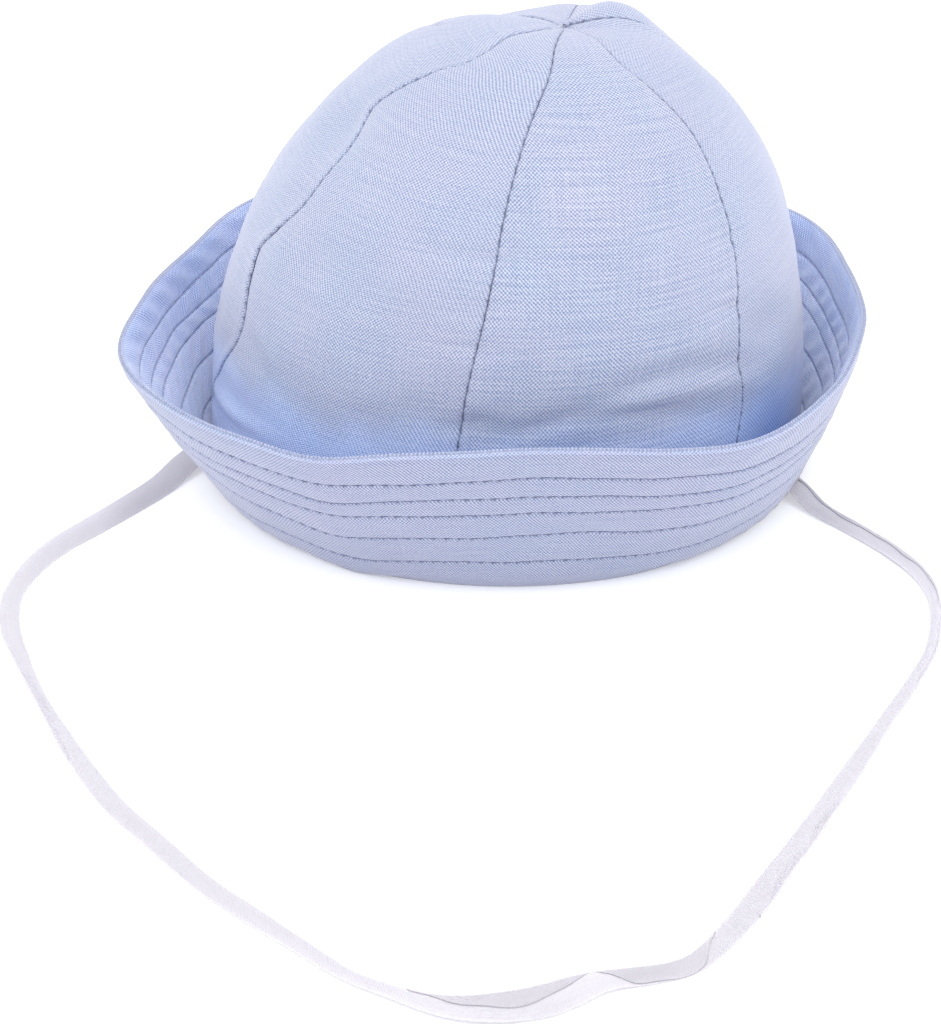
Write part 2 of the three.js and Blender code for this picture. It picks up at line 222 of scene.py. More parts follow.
# %% Folds
# azimuth, rise, reach across, reach up, slope, height as a share of FOLD_DEPTH, bend
CROWN_FOLDS = np.array(
    [
        (33, 0.249, 20, 0.018, 0, -0.38, -6.5e-5),
        (31, 0.2225, 20, 0.014, 0, 0.28, -6.5e-5),
        (17, 0.206, 20, 0.014, 0, -0.38, -6e-5),
        (34, 0.285, 17, 0.02, 0, 0.14, 0),
        (14, 0.168, 15, 0.020, 0.0004, -0.25, 0),
        (-6, 0.206, 3, 0.008, 0, -0.3, 0),
        (-57, 0.213, 7, 0.016, -0.003, -0.3, 0),
        (-7, 0.511, 5, 0.012, 0, -0.25, 0),
        (-9, 0.437, 11, 0.018, 0, -0.4, 0),
        (-8, 0.302, 6, 0.013, 0, -0.25, 0),
        (-7, 0.192, 5, 0.011, 0, -0.35, 0),
        (-70, 0.57, 11, 0.055, 0, -1.1, 0),
        (-48, 0.374, 7, 0.04, 0, -0.4, 0),
        (-61, 0.37, 6, 0.04, 0, 0.4, 0),
        (-66, 0.13, 13, 0.022, 0, -0.5, 0),
        (-70, 0.094, 12, 0.010, 0.0005, -0.5, 0),
        (-64, 0.112, 12, 0.010, 0.0006, 0.35, 0),
        (48, 0.424, 4, 0.013, 0, -0.3, 0),
        (47, 0.317, 4, 0.012, 0, -0.3, 0),
        (57, 0.27, 9, 0.03, 0, -0.45, 0),
        (60, 0.20, 9, 0.03, 0, 0.35, 0),
        (140, 0.36, 22, 0.09, 0, -0.9, 0),
        (205, 0.6, 20, 0.09, 0, -0.7, 0),
        (92, 0.62, 30, 0.13, 0, -0.5, 0),
        (205, 0.85, 34, 0.12, 0, -0.8, 0),
        (-117, 0.71, 16, 0.1, 0, 0.37, 0),
        (-143, 0.79, 12, 0.08, 0, -0.55, 0),
        (176, 0.83, 20, 0.08, 0, 0.6, 0),
        (140, 0.89, 18, 0.07, 0, 0.35, 0),
        (108, 0.72, 14, 0.08, 0, -0.55, 0),
        (-111, 0.767, 9, 0.012, 0.0033, -0.35, 0),
        (122, 0.9, 30, 0.09, 0, 1.3, 0),
    ]
)
print(len(CROWN_FOLDS), "folds")


# %% The dome
def seam_azimuth(index, rise):
    """Azimuth of a seam at a share of the rise; index 6 is the first seam, one turn on."""
    turn = 360 if index >= len(SEAM_NAMES) else 0
    return smooth_through(SEAM_RISES, SEAMS[SEAM_NAMES[index % len(SEAM_NAMES)]], rise) + turn


def arch_lift(azimuth):
    """Height of the brim's fold over the floor: a cosine bump at each side, where the tape passes."""
    lift = np.zeros_like(np.asarray(azimuth, float))
    for centre, span in SIDE_ARCHES:
        share = np.abs(azimuth_between(azimuth, centre)) / span
        lift += ARCH_HEIGHT * np.cos(np.clip(share, 0, 1) * np.pi / 2) ** ARCH_EASE
    return lift


def crown_folds(azimuth, rise):
    """Sum of the folds. Each is a bell across its azimuth times a bell across its rise, whose middle line
    slopes and bends with the distance aside."""
    height = np.zeros(np.broadcast(azimuth, rise).shape)
    for centre, at, across, up, slope, share, bend in CROWN_FOLDS:
        aside = azimuth_between(azimuth, centre)
        above = (rise - at - slope * aside - bend * aside**2) / up
        height += FOLD_DEPTH * share * np.exp(-((aside / across) ** 2) - above**2)
    return height


def crown_middle(azimuth, rise, swell):
    """Middle of the crown's cloth. A ring is cos(lift)^(2/side) wide and sin(lift)^(2/top) high, where lift
    is the rise as a quarter turn; the rings lean towards the tip, and the folds move the cloth outwards."""
    turn, lift = np.radians(azimuth), rise * np.pi / 2
    ring = np.cos(lift) ** (2 / SIDE_ROUNDNESS)
    height = np.sin(lift) ** (2 / TOP_ROUNDNESS)
    tuck = FOOT_TUCK * np.exp(-((rise / FOOT_TUCK_REACH) ** 2))
    out = swell * PANEL_SWELL * np.sin(np.pi * rise) ** 0.5 + crown_folds(azimuth, rise) - tuck
    side = 1 - rise**2
    shift = height**LEAN_POWER
    tilt = 1 - LEFT_RISE_SHARE * ring * np.sin(turn) * height
    return np.stack(
        [
            (CROWN_WIDTH / 2 * ring + out * side) * np.sin(turn) + TIP_SHIFT_X * shift,
            -(CROWN_DEPTH / 2 * ring + out * side) * np.cos(turn) + TIP_SHIFT_Y * shift,
            CROWN_HEIGHT * height * tilt - TIP_DIP * np.exp(-((ring / TIP_DIP_REACH) ** 2)) + out * rise**2,
        ],
        -1,
    )


def foot_rise(azimuth):
    """Share of the rise where a panel starts: the dome's height formula solved for the leg's top edge."""
    foot = LEG_HEIGHT + SEAM_GAP + arch_lift(azimuth)
    return np.arcsin((foot / CROWN_HEIGHT) ** (TOP_ROUNDNESS / 2)) / (np.pi / 2)


# %% [markdown]
# ## Cloth detail on a panel
#
# Next to each seam the cloth dips into the stitched line, and the seam's spare cloth, folded to the left
# under the panel, lifts a narrow ridge. The thread gathers the cloth a little, so small puckers run out
# from the seam. A bump map could shade all this, but it would leave the outline smooth, so the grid itself is
# moved. Waves of seeded random direction keep the rest from looking moulded.

# %% Waves and puckers
RIDGE_FROM, RIDGE_TO, RIDGE_HEIGHT = 0.5, 2.7, 0.2
RIDGE_EASE_IN, RIDGE_EASE_OUT = 0.12, 0.2
DITCH_DEPTH, DITCH_REACH = 0.36, 0.24
STITCH_PUCKER, STITCH_PUCKER_REACH = 0.05, 2.2
SLOW_PUCKER, SLOW_PUCKER_REACH = 0.12, 5.5
PANEL_WAVES, PANEL_WAVE_HEIGHT = [46, 31, 23, 17, 12, 9], 0.42
INNER_RELIEF_LIMIT = 0.3
TIP_EDGE = 0.9998
STITCH = 3.5


def soft_waves(x, y, z, seed, lengths, height):
    """Sum of plane waves with seeded directions; each wave's height grows with its length."""
    rng = np.random.default_rng(seed)
    total = np.zeros_like(x)
    for length in lengths:
        way = rng.normal(size=3)
        way /= np.linalg.norm(way)
        phase = rng.uniform(0, 2 * np.pi)
        run = x * way[0] + y * way[1] + z * way[2]
        total += length / max(lengths) * np.sin(2 * np.pi * run / length + phase)
    return height * total / len(lengths) ** 0.5


def seam_relief(away, along, ridge, seed):
    """Height near a seam: a bell shaped ditch on the line, an optional ridge between two soft steps beside it,
    and puckers. Those are sines along the seam, one a stitch and one slow, that die out away from it."""
    rng = np.random.default_rng(seed)
    relief = -DITCH_DEPTH * np.exp(-((away / DITCH_REACH) ** 2))
    if ridge:
        rising = 1 / (1 + np.exp(-(away - RIDGE_FROM) / RIDGE_EASE_IN))
        falling = 1 / (1 + np.exp((away - RIDGE_TO) / RIDGE_EASE_OUT))
        relief += RIDGE_HEIGHT * rising * falling
    gather = 0.5 + 0.5 * np.sin(along / 11 + rng.uniform(0, 6)) * np.sin(along / 4.7 + rng.uniform(0, 6))
    each = np.sin(2 * np.pi * along / STITCH + rng.uniform(0, 6))
    relief += STITCH_PUCKER * gather * each * np.exp(-away / STITCH_PUCKER_REACH)
    slow = np.sin(along / 2.9 + 1.3 * np.sin(along / 7.1 + rng.uniform(0, 6)) + rng.uniform(0, 6))
    relief += SLOW_PUCKER * gather * slow * np.exp(-away / SLOW_PUCKER_REACH)
    return relief


# %% A panel's grid
EDGE_STEPS = np.array([0, 0.1, 0.2, 0.32, 0.46, 0.62, 0.85, 1.2, 1.7, 2.3, 2.7, 3.1, 3.7])
MIDDLE_COLUMNS = 46
PANEL_ROWS = 196


def panel_grid(index):
    """Azimuth, rise and share of the width on a grid whose columns crowd towards the two seams: the same
    EDGE_STEPS from either seam, in millimetres where the panel is wide enough, and even shares between."""
    up = np.linspace(0, 1, PANEL_ROWS)
    sides = []
    for seam in (index, index + 1):
        azimuth = seam_azimuth(seam, up)
        for _ in range(4):
            foot = foot_rise(azimuth)
            azimuth = seam_azimuth(seam, foot + (TIP_EDGE - foot) * up)
        sides.append(azimuth)
    first, last = sides
    ends = []
    for azimuth in sides:
        foot = foot_rise(azimuth)
        ends.append(crown_middle(azimuth, foot + (TIP_EDGE - foot) * up, 0 * up))
    width = np.linalg.norm(ends[1] - ends[0], axis=1)
    near = np.minimum(1, width / (3 * EDGE_STEPS[-1]))[:, None] * EDGE_STEPS[None, :] / width[:, None]
    inner = near[:, -1:] + (1 - 2 * near[:, -1:]) * np.linspace(0, 1, MIDDLE_COLUMNS + 2)[None, 1:-1]
    share = np.concatenate([near, inner, 1 - near[:, ::-1]], 1)
    azimuth = first[:, None] + (last - first)[:, None] * share
    foot = foot_rise(azimuth)
    rise = foot + (TIP_EDGE - foot) * up[:, None]
    return azimuth, rise, share


def lengths_along(points, axis):
    """Distance run from the first row or column, in millimetres."""
    steps = np.linalg.norm(np.diff(points, axis=axis), axis=-1)
    pad = [(0, 0), (0, 0)]
    pad[axis] = (1, 0)
    return np.cumsum(np.pad(steps, pad), axis=axis)


# %% A panel as a closed wall
def panel_faces(index):
    """Outer and inner face of one panel, with its cloth coordinates: the dome's middle, moved along its
    normal by half the wall and the relief."""
    azimuth, rise, share = panel_grid(index)
    middle = crown_middle(azimuth, rise, 4 * share * (1 - share))
    across, up = lengths_along(middle, 1), lengths_along(middle, 0)
    width = across[:, -1:]
    centre = middle.shape[1] // 2
    grain = np.stack([across - width / 2, np.broadcast_to(up[:, centre : centre + 1], across.shape)], -1)
    relief = seam_relief(across, up, False, index) + seam_relief(width - across, up, True, index + 1)
    relief += soft_waves(*np.moveaxis(middle, -1, 0), 40 + index, PANEL_WAVES, PANEL_WAVE_HEIGHT)
    relief *= np.clip(width / 4, 0, 1)
    right, rising = np.gradient(middle, axis=1), np.gradient(middle, axis=0)
    normal = np.cross(right, rising)
    normal /= np.linalg.norm(normal, axis=-1, keepdims=True)
    outer = middle + normal * (CROWN_WALL / 2 + relief)[..., None]
    inside = np.clip(relief, -INNER_RELIEF_LIMIT, INNER_RELIEF_LIMIT) - CROWN_WALL / 2
    inner = middle + normal * inside[..., None]
    from_left = across < width / 2
    seam = np.stack([np.where(from_left, across, width - across), up + 50.0 * from_left], -1)
    return outer, inner, grain, seam, normal


def closed_wall(name, outer, inner, grain, seam):
    """Two grids joined along their four edges."""
    rows, columns = outer.shape[:2]
    size = rows * columns
    index = np.arange(size).reshape(rows, columns)
    faces = [grid_faces(rows, columns), grid_faces(rows, columns, size, flip=True)]
    for edge, flip in ((index[0], True), (index[-1], False), (index[:, 0], False), (index[:, -1], True)):
        quads = np.stack([edge[:-1], edge[1:], edge[1:] + size, edge[:-1] + size], 1)
        faces.append(quads if flip else quads[:, ::-1])
    points = np.concatenate([outer.reshape(-1, 3), inner.reshape(-1, 3)])
    flat, near = (np.tile(pairs.reshape(-1, 2), (2, 1)) for pairs in (grain, seam))
    return new_piece(name, points, np.concatenate(faces), flat, near)


# %% Make the six panels
PANELS = ["front_left", "front_right", "right", "back_right", "back_left", "left"]
crown_pieces = []
seam_lines = []
for index, side in enumerate(PANELS):
    outer, inner, grain, seam, normal = panel_faces(index)
    piece = closed_wall(f"{side}_panel_cloth", outer, inner, grain, seam)
    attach(piece, "root")
    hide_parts(f"crown_panel_{side}")
    crown_pieces.append(piece)
    seam_lines.append((outer[:, 0], normal[:, 0]))
    print(piece.name, len(piece.data.polygons), "quads")

# %% [markdown]
# ## The brim
#
# The brim is two plies of the same cloth over a stiffener, sewn to the crown's edge, folded up, and quilted
# by rows of stitching. It could be a flat ring that is bent up, but its flare and its height are known round
# the cap, not its flat pattern. So it is one closed section carried round the crown: up the outer wall, over
# the rim, down the inner wall and round the hidden leg under the crown.

# %% The brim's middle line
# azimuth, flare, stand: shares of the brim's width
BRIM_STATIONS = np.array(
    [
        (-155, 0.445, 0.93),
        (-135, 0.475, 0.925),
        (-110, 0.31, 0.925),
        (-90, 0.37, 0.91),
        (-72, 0.53, 0.855),
        (-57, 0.555, 0.85),
        (-38, 0.53, 0.85),
        (0, 0.405, 0.91),
        (25, 0.485, 0.89),
        (38, 0.515, 0.875),
        (55, 0.445, 0.9),
        (76, 0.352, 0.94),
        (100, 0.332, 0.95),
        (125, 0.48, 0.945),
        (150, 0.445, 0.92),
        (180, 0.415, 0.93),
    ]
)
FOOT_BEVEL, TOE_INSET, TOE_OUT, TOE_RISE = 0.7, 0.4, 0.55, 1.0

# azimuth, reach and height in millimetres of the small waves of the rim
RIM_WAVES = [
    (-28, 8.5, -2.2),
    (8, 14, 1.4),
    (40, 14, -1.0),
    (-75, 9, 0.5),
    (70, 9, 0.5),
    (150, 12, -0.7),
    (-140, 11, 0.6),
]
print(len(BRIM_STATIONS), "brim stations and", len(RIM_WAVES), "waves of the rim")


def base_radius(azimuth):
    """Radius of the crown's lower edge: an ellipse less the tuck of its foot."""
    turn = np.radians(azimuth)
    return np.hypot(CROWN_WIDTH / 2 * np.sin(turn), CROWN_DEPTH / 2 * np.cos(turn)) - FOOT_TUCK


def brim_middle(azimuth, share):
    """Radius and height of the middle of the turned up wall at a share of the way up: a straight line from
    the fold to the rim, with a sine belly, where the rim's flare and stand are smooth round the cap."""
    flare = smooth_round(BRIM_STATIONS[:, 0], BRIM_STATIONS[:, 1], azimuth) * BRIM_WIDTH - BRIM_WALL / 2
    stand = smooth_round(BRIM_STATIONS[:, 0], BRIM_STATIONS[:, 2], azimuth) * BRIM_WIDTH
    for centre, reach, height in RIM_WAVES:
        stand = stand + height * np.exp(-((azimuth_between(azimuth, centre) / reach) ** 2))
    start = LEG_WALL / 2 + FOLD_GAP + BRIM_WALL / 2
    lift = arch_lift(azimuth)
    radius = base_radius(azimuth) + start + (flare - start) * share + BRIM_BELLY * np.sin(np.pi * share)
    return np.stack([radius, lift + (stand - lift) * share], -1)


# %% Quilting of the brim
ROWS_BELOW_RIM = np.array([8.8, 15.3, 20.9, 29.2, 38.9])
RIM_SHARE, RIM_TAPER = 0.75, 3.0
RIM_LIP, RIM_GROOVE = 0.24, -0.16
BRIM_STITCH = 3.4
GROOVE_DEPTH, GROOVE_REACH, PUFF = 0.34, 0.42, 0.15
OUTER_RIPPLE, INNER_RIPPLE = 0.1, 0.32


def brim_relief(below, along, side):
    """Height of the quilted cloth, by its distance below the rim and along it. Each row is a groove that is
    deepest at its needle holes, and between rows the cloth puffs up and gathers into slanted ripples."""
    rng = np.random.default_rng(7 + side)
    relief = np.zeros_like(below)
    bounds = np.concatenate([[0.0], ROWS_BELOW_RIM, [BRIM_WIDTH]])
    for top, bottom in zip(bounds[:-1], bounds[1:]):
        share = np.clip((below - top) / (bottom - top), 0, 1)
        relief += PUFF * np.sin(np.pi * share) ** 0.7 * (share > 0) * (share < 1)
        slanted = along + rng.choice([-1, 1]) * rng.uniform(0.5, 1.1) * (below - top)
        wander = 2.2 * np.sin(along / rng.uniform(17, 29)) + rng.uniform(0, 6)
        ripple = np.sin(2 * np.pi * slanted / rng.uniform(8, 13) + wander)
        height = INNER_RIPPLE if side else OUTER_RIPPLE
        relief += height * ripple * np.sin(np.pi * share) * (share > 0) * (share < 1)
    for number, row in enumerate(ROWS_BELOW_RIM):
        hole = 0.5 + 0.5 * np.cos(2 * np.pi * (along / BRIM_STITCH + 0.37 * number))
        depth = GROOVE_DEPTH * (0.8 + 0.35 * hole)
        relief -= depth * np.exp(-(((below - row) / GROOVE_REACH) ** 2))
    return relief


# %% Places down the brim's wall
BRIM_COLUMNS = 760
FINE_BELOW, LOWEST_PLACE = 2.5, 46.0


def brim_section_places():
    """Distances below the rim for one face of the wall, crowded at the rows."""
    places = [0.0, 0.3, 0.65, 1.05, 1.5, 2.0, FINE_BELOW]
    bounds = np.concatenate([[FINE_BELOW], ROWS_BELOW_RIM, [LOWEST_PLACE]])
    for top, bottom in zip(bounds[:-1], bounds[1:]):
        start = top + (1.0 if top > FINE_BELOW else 0.7)
        stop = bottom - 1.0
        places += list(np.linspace(start, stop, max(3, int((stop - start) / 1.1))))
        if bottom < LOWEST_PLACE:
            places += [bottom - 0.6, bottom - 0.3, bottom, bottom + 0.3, bottom + 0.6]
    return np.array(sorted(places))


azimuths = -180 + 360 * np.arange(BRIM_COLUMNS) / BRIM_COLUMNS
places = brim_section_places()
wall_line = brim_middle(azimuths[:, None], np.linspace(0, 1, 60)[None, :])
wall_length = np.linalg.norm(np.diff(wall_line, axis=1), axis=-1).sum(1)
print("brim wall", len(places), "places,", wall_length.min(), "to", wall_length.max(), "mm long")

# %% The brim's two faces
# height, waves round and drift of the sewing's slow wandering, then its sag at one side
ROW_STRAY = [(0.22, 5, 3), (0.16, 13, 2), (0.1, 29, 1)]
ROW_SAG, SAG_AZIMUTH, SAG_REACH, SAG_PLACE, SAG_DOWN = 1.9, 70, 42, 9, 8
# all places are drawn up a little, because the lowest would lie under the fold
WALL_SHARE = 0.955
BRIM_WAVES, BRIM_WAVE_HEIGHT = [61, 37, 22, 14], 0.35


def row_wander(azimuth, place):
    """How far the sewing strays from an even distance, in millimetres; nothing at the rim and the fold."""
    turn = np.radians(azimuth)
    stray = sum(height * np.sin(waves * turn + place / slow) for height, waves, slow in ROW_STRAY)
    aside = azimuth_between(azimuth, SAG_AZIMUTH) / SAG_REACH
    sag = ROW_SAG * np.exp(-(aside**2) - ((place - SAG_PLACE) / SAG_DOWN) ** 2)
    return (stray + sag) * np.clip(place / 6, 0, 1) * np.clip((LOWEST_PLACE - place) / 5, 0, 1)


def brim_faces():
    """Outer and inner face of the wall: middle line, moved half the wall and the relief along its normal."""
    azimuth = azimuths[:, None]
    share = 1 - (places[None, :] + row_wander(azimuth, places[None, :])) * WALL_SHARE / wall_length[:, None]
    middle = brim_middle(azimuth, share)
    step = brim_middle(azimuth, share + 0.01) - brim_middle(azimuth, share - 0.01)
    step /= np.linalg.norm(step, axis=-1, keepdims=True)
    outward = np.stack([step[..., 1], -step[..., 0]], -1)
    radius = brim_middle(azimuths, np.ones(BRIM_COLUMNS))[:, 0]
    run = np.radians(azimuths) * radius.mean()
    along = np.broadcast_to(run[:, None], share.shape)
    below = np.broadcast_to(places[None, :], share.shape)
    wave = soft_waves(azimuth * 1.6 + 0 * share, below, 0 * share, 5, BRIM_WAVES, BRIM_WAVE_HEIGHT)
    thin = np.clip(below / RIM_TAPER, 0, 1)
    wall = BRIM_WALL / 2 * (RIM_SHARE + (1 - RIM_SHARE) * thin * thin * (3 - 2 * thin))
    outer = middle + outward * (wall + brim_relief(below, along, 0) + wave)[..., None]
    inner = middle - outward * (wall + brim_relief(below, along, 1) - wave)[..., None]
    return outer, inner, along, below


outer, inner, along, below = brim_faces()
print("brim faces", outer.shape[0], "by", outer.shape[1], "points each")

# %% The rim's two lips and the hidden leg
# a lip takes this share of the rim's middle and that of its face's edge
LIP_IN, LIP_OUT = 0.3, 0.7
lift = arch_lift(azimuths)
base = base_radius(azimuths)
foot = brim_middle(azimuths, np.zeros(BRIM_COLUMNS))
rim_middle = (outer[:, 0] + inner[:, 0]) / 2
rim_along = rim_middle - (outer[:, 4] + inner[:, 4]) / 2
rim_along /= np.linalg.norm(rim_along, axis=1, keepdims=True)
rim_groove = rim_middle + RIM_GROOVE * rim_along
outer_lip, inner_lip = (
    LIP_IN * rim_middle + LIP_OUT * face[:, 0] + RIM_LIP * rim_along for face in (outer, inner)
)
under_points = [
    np.stack([foot[:, 0] + TOE_OUT, lift + TOE_RISE], -1),
    np.stack([foot[:, 0] - TOE_INSET, lift], -1),
    np.stack([base - LEG_WALL / 2 + FOOT_BEVEL, lift], -1),
    np.stack([base - LEG_WALL / 2, lift + FOOT_BEVEL], -1),
    np.stack([base - LEG_WALL / 2, lift + LEG_HEIGHT], -1),
    np.stack([base + LEG_WALL / 2, lift + LEG_HEIGHT], -1),
    np.stack([base + LEG_WALL / 2 + FOLD_GAP / 2, lift + BRIM_WALL], -1),
]
section = np.concatenate(
    [
        np.stack([rim_groove, outer_lip], 1),
        outer,
        np.stack(under_points, 1),
        inner[:, ::-1],
        inner_lip[:, None],
    ],
    1,
)
print("brim section", section.shape[1], "points")

# %% The brim as one closed piece
GROOVE_PLACE, LIP_PLACE, HIDDEN_PLACE = -0.7, -0.35, 50.0
hidden = HIDDEN_PLACE + np.arange(len(under_points))
below_section = np.concatenate([[GROOVE_PLACE, LIP_PLACE], places, hidden, places[::-1], [LIP_PLACE]])
below_all = np.broadcast_to(below_section, section.shape[:2])
turn = np.radians(azimuths)[:, None]
brim_points = np.stack([section[..., 0] * np.sin(turn), -section[..., 0] * np.cos(turn), section[..., 1]], -1)
count = section.shape[1]
column, place = np.meshgrid(np.arange(BRIM_COLUMNS), np.arange(count), indexing="ij")
here, after = column * count, (column + 1) % BRIM_COLUMNS * count
following = (place + 1) % count
brim_quads = np.stack([here + place, here + following, after + following, after + place], -1).reshape(-1, 4)
brim_along = np.broadcast_to(along[:, :1], section.shape[:2])
brim_uv = np.stack([brim_along, -below_all], -1)
all_rows = np.concatenate([[below_section[0]], ROWS_BELOW_RIM])
row_distance = np.abs(below_all[..., None] - all_rows)
nearest = row_distance.argmin(-1)
brim_seam = np.stack([row_distance.min(-1), brim_along + 1.3 * nearest], -1)
brim_cloth = new_piece("brim_cloth", brim_points, brim_quads, brim_uv, brim_seam)
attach(brim_cloth, "root")
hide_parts("brim")
print(brim_cloth.name, len(brim_cloth.data.polygons), "quads")

# %% [markdown]
# ## Stitches
#
# A lockstitch shows as a row of short arcs that dive into their needle holes. Curves with a bevel would do,
# but they would be hundreds of objects. So each arc is a small tube of five rings, and a whole row is made at
# once by adding the same arc to points spaced along a line.


# %% A row of stitches
ARC_RINGS, ARC_SIDES = 5, 6
# length, radius and rise of a stitch on the crown and on the brim, in millimetres
CROWN_STITCH, BRIM_ARC = (2.8, 0.11, 0.09), (2.6, 0.1, 0.05)
CROWN_STRAY, CROWN_WANDER, CROWN_LIFT, BRIM_LIFT = 0.12, 0.25, 0.1, 0.05


def stitch_points(line, normal, pitch, length, radius, rise, stray=0.0, phase=0.0, wander=0.0):
    """Rings of tubes whose middle is line(s) + rise * (1 - 2.2 t^2) * normal, with t from -1 to 1. Every other
    stitch slews the other way, and the whole row wanders sideways by two sines, as hand guided sewing does."""
    run = np.concatenate([[0], np.cumsum(np.linalg.norm(np.diff(line, axis=0), axis=1))])
    starts = np.arange(pitch * 0.6 + phase, run[-1] - pitch * 0.6, pitch)
    t = np.linspace(-1, 1, ARC_RINGS)
    at = starts[:, None] + t[None, :] * length / 2

    def along(values):
        """Values read off at every ring's distance along the line."""
        return np.stack([np.interp(at, run, values[:, i]) for i in range(3)], -1)

    middle, up, ahead = along(line), along(normal), along(np.gradient(line, axis=0))
    up /= np.linalg.norm(up, axis=-1, keepdims=True)
    ahead /= np.linalg.norm(ahead, axis=-1, keepdims=True)
    side = np.cross(ahead, up)
    slew = stray * (-1.0) ** np.arange(len(starts))[:, None] * t[None, :]
    slew += wander * (np.sin(at / 5.3) + 0.6 * np.sin(at / 2.9 + 1.0)) / 1.6
    middle = middle + up * (rise * (1 - 2.2 * t**2))[None, :, None] + side * slew[..., None]
    turn = 2 * np.pi * np.arange(ARC_SIDES) / ARC_SIDES
    width = radius * (1 - 0.45 * t**4)[None, :, None, None]
    circle = np.cos(turn)[:, None] * side[..., None, :] + np.sin(turn)[:, None] * up[..., None, :]
    return middle[..., None, :] + width * circle


def stitch_faces(count):
    """Faces of all the tubes of a row: the sides and the two end caps of each."""
    ring, side = np.meshgrid(np.arange(ARC_RINGS - 1), np.arange(ARC_SIDES), indexing="ij")
    after = (side + 1) % ARC_SIDES
    walls = np.stack(
        [
            ring * ARC_SIDES + side,
            ring * ARC_SIDES + after,
            (ring + 1) * ARC_SIDES + after,
            (ring + 1) * ARC_SIDES + side,
        ],
        -1,
    ).reshape(-1, 4)
    first = np.arange(ARC_SIDES)[::-1]
    last = np.arange(ARC_SIDES) + (ARC_RINGS - 1) * ARC_SIDES
    shift = np.arange(count)[:, None, None] * ARC_RINGS * ARC_SIDES
    sides = (walls[None] + shift).reshape(-1, 4).tolist()
    caps = (np.stack([first, last])[None] + shift).reshape(-1, ARC_SIDES).tolist()
    return sides + caps


def thread_piece(name, rows):
    """One piece out of all the stitches of some rows."""
    points = np.concatenate([row.reshape(-1, 3) for row in rows])
    piece = new_piece(name, points, stitch_faces(sum(len(row) for row in rows)))
    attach(piece, "root")
    print(name, sum(len(row) for row in rows), "stitches")
    return piece


# %% Stitches of the crown's seams
# the first and last points of a seam lie in its corners, so the thread keeps clear of them
CLEAR = slice(4, -5)
crown_rows = []
for line, normal in seam_lines:
    lifted = line[CLEAR] + normal[CLEAR] * CROWN_LIFT
    settings = (STITCH, *CROWN_STITCH, CROWN_STRAY)
    crown_rows.append(stitch_points(lifted, normal[CLEAR], *settings, wander=CROWN_WANDER))
crown_thread = thread_piece("crown_seam_thread", crown_rows)

# %% Stitches of the brim
turn = np.radians(np.append(azimuths, 180.0))
ring_out = np.stack([np.sin(turn), -np.cos(turn), 0 * turn], -1)


def brim_row(face, place, outward, phase):
    """One row round the brim: a closed line of the wall's face at a place, with the face's normal."""
    column = int(np.argmin(np.abs(places - place)))
    radius, height = np.append(face[:, column], face[:1, column], axis=0).T
    line = ring_out * radius[:, None] + np.array([0, 0, 1]) * height[:, None]
    high, low = (brim_middle(azimuths, np.full(BRIM_COLUMNS, share)) for share in (0.9, 0.1))
    slope = np.append(high - low, (high - low)[:1], axis=0)
    slope /= np.linalg.norm(slope, axis=1, keepdims=True)
    normal = ring_out * slope[:, 1:] - np.array([0, 0, 1]) * slope[:, :1]
    normal = normal if outward else -normal
    return stitch_points(line + normal * BRIM_LIFT, normal, BRIM_STITCH, *BRIM_ARC, phase=phase)


row_phases = 1.1 * np.arange(1, len(all_rows))
rows_and_phases = list(zip(ROWS_BELOW_RIM, row_phases))
outside_rows = [brim_row(outer, row, True, phase) for row, phase in rows_and_phases]
inside_rows = [brim_row(inner, row, False, phase) for row, phase in rows_and_phases]
outside_thread = thread_piece("brim_outside_thread", outside_rows)
inside_thread = thread_piece("brim_inside_thread", inside_rows)

# %% [markdown]
# ## The chin tape
#
# The tape is a strip of cotton folded in two along its length. It lies loose on the floor, so it twists
# and opens here and there. A bevelled curve has the same section everywhere, so here numpy carries a section
# that changes along the route that the CAD model's tape follows.

# %% The tape's route
# azimuth, reach as a share of the base's radius, lift as a share of the arch's height
TAPE_ROUTE = np.array(
    [
        (-87, 1, 0.6),
        (-85, 1.055, 0.52),
        (-81.2, 1.127, 0.26),
        (-76, 1.211, 0.05),
        (-71.3, 1.327, 0),
        (-66.4, 1.499, 0),
        (-63.1, 1.655, 0),
        (-59.1, 1.802, 0),
        (-54.6, 1.928, 0),
        (-47.5, 2.061, 0),
        (-41, 2.176, 0),
        (-32, 2.401, 0),
        (-26, 2.566, 0),
        (-20.5, 2.719, 0),
        (-15.6, 2.88, 0),
        (-9.8, 3.074, 0),
        (-6.5, 3.19, 0),
        (-2.7, 3.279, 0),
        (1.2, 3.262, 0),
        (5, 3.176, 0),
        (9.2, 3.118, 0),
        (12.8, 2.933, 0),
        (16.7, 2.73, 0),
        (23.2, 2.439, 0),
        (31.6, 2.167, 0),
        (38.8, 2.017, 0),
        (44.1, 1.926, 0),
        (49.9, 1.799, 0),
        (54.9, 1.659, 0),
        (59, 1.484, 0),
        (62.7, 1.309, 0),
        (66.5, 1.156, 0.1),
        (70.9, 1.056, 0.43),
        (73.8, 0.993, 0.6),
    ]
)
TAPE_WIDTH, TAPE_PLY, FLOOR_GAP = 7.0, 0.5, 0.25


def tape_points():
    """The route's places: reach * the base's radius at each azimuth, and the floor's gap plus the lift."""
    azimuth, reach, lift = TAPE_ROUTE.T
    radius = reach * base_radius(azimuth)
    turn = np.radians(azimuth)
    return np.stack([radius * np.sin(turn), -radius * np.cos(turn), TAPE_PLY + FLOOR_GAP + lift * ARCH_HEIGHT], -1)


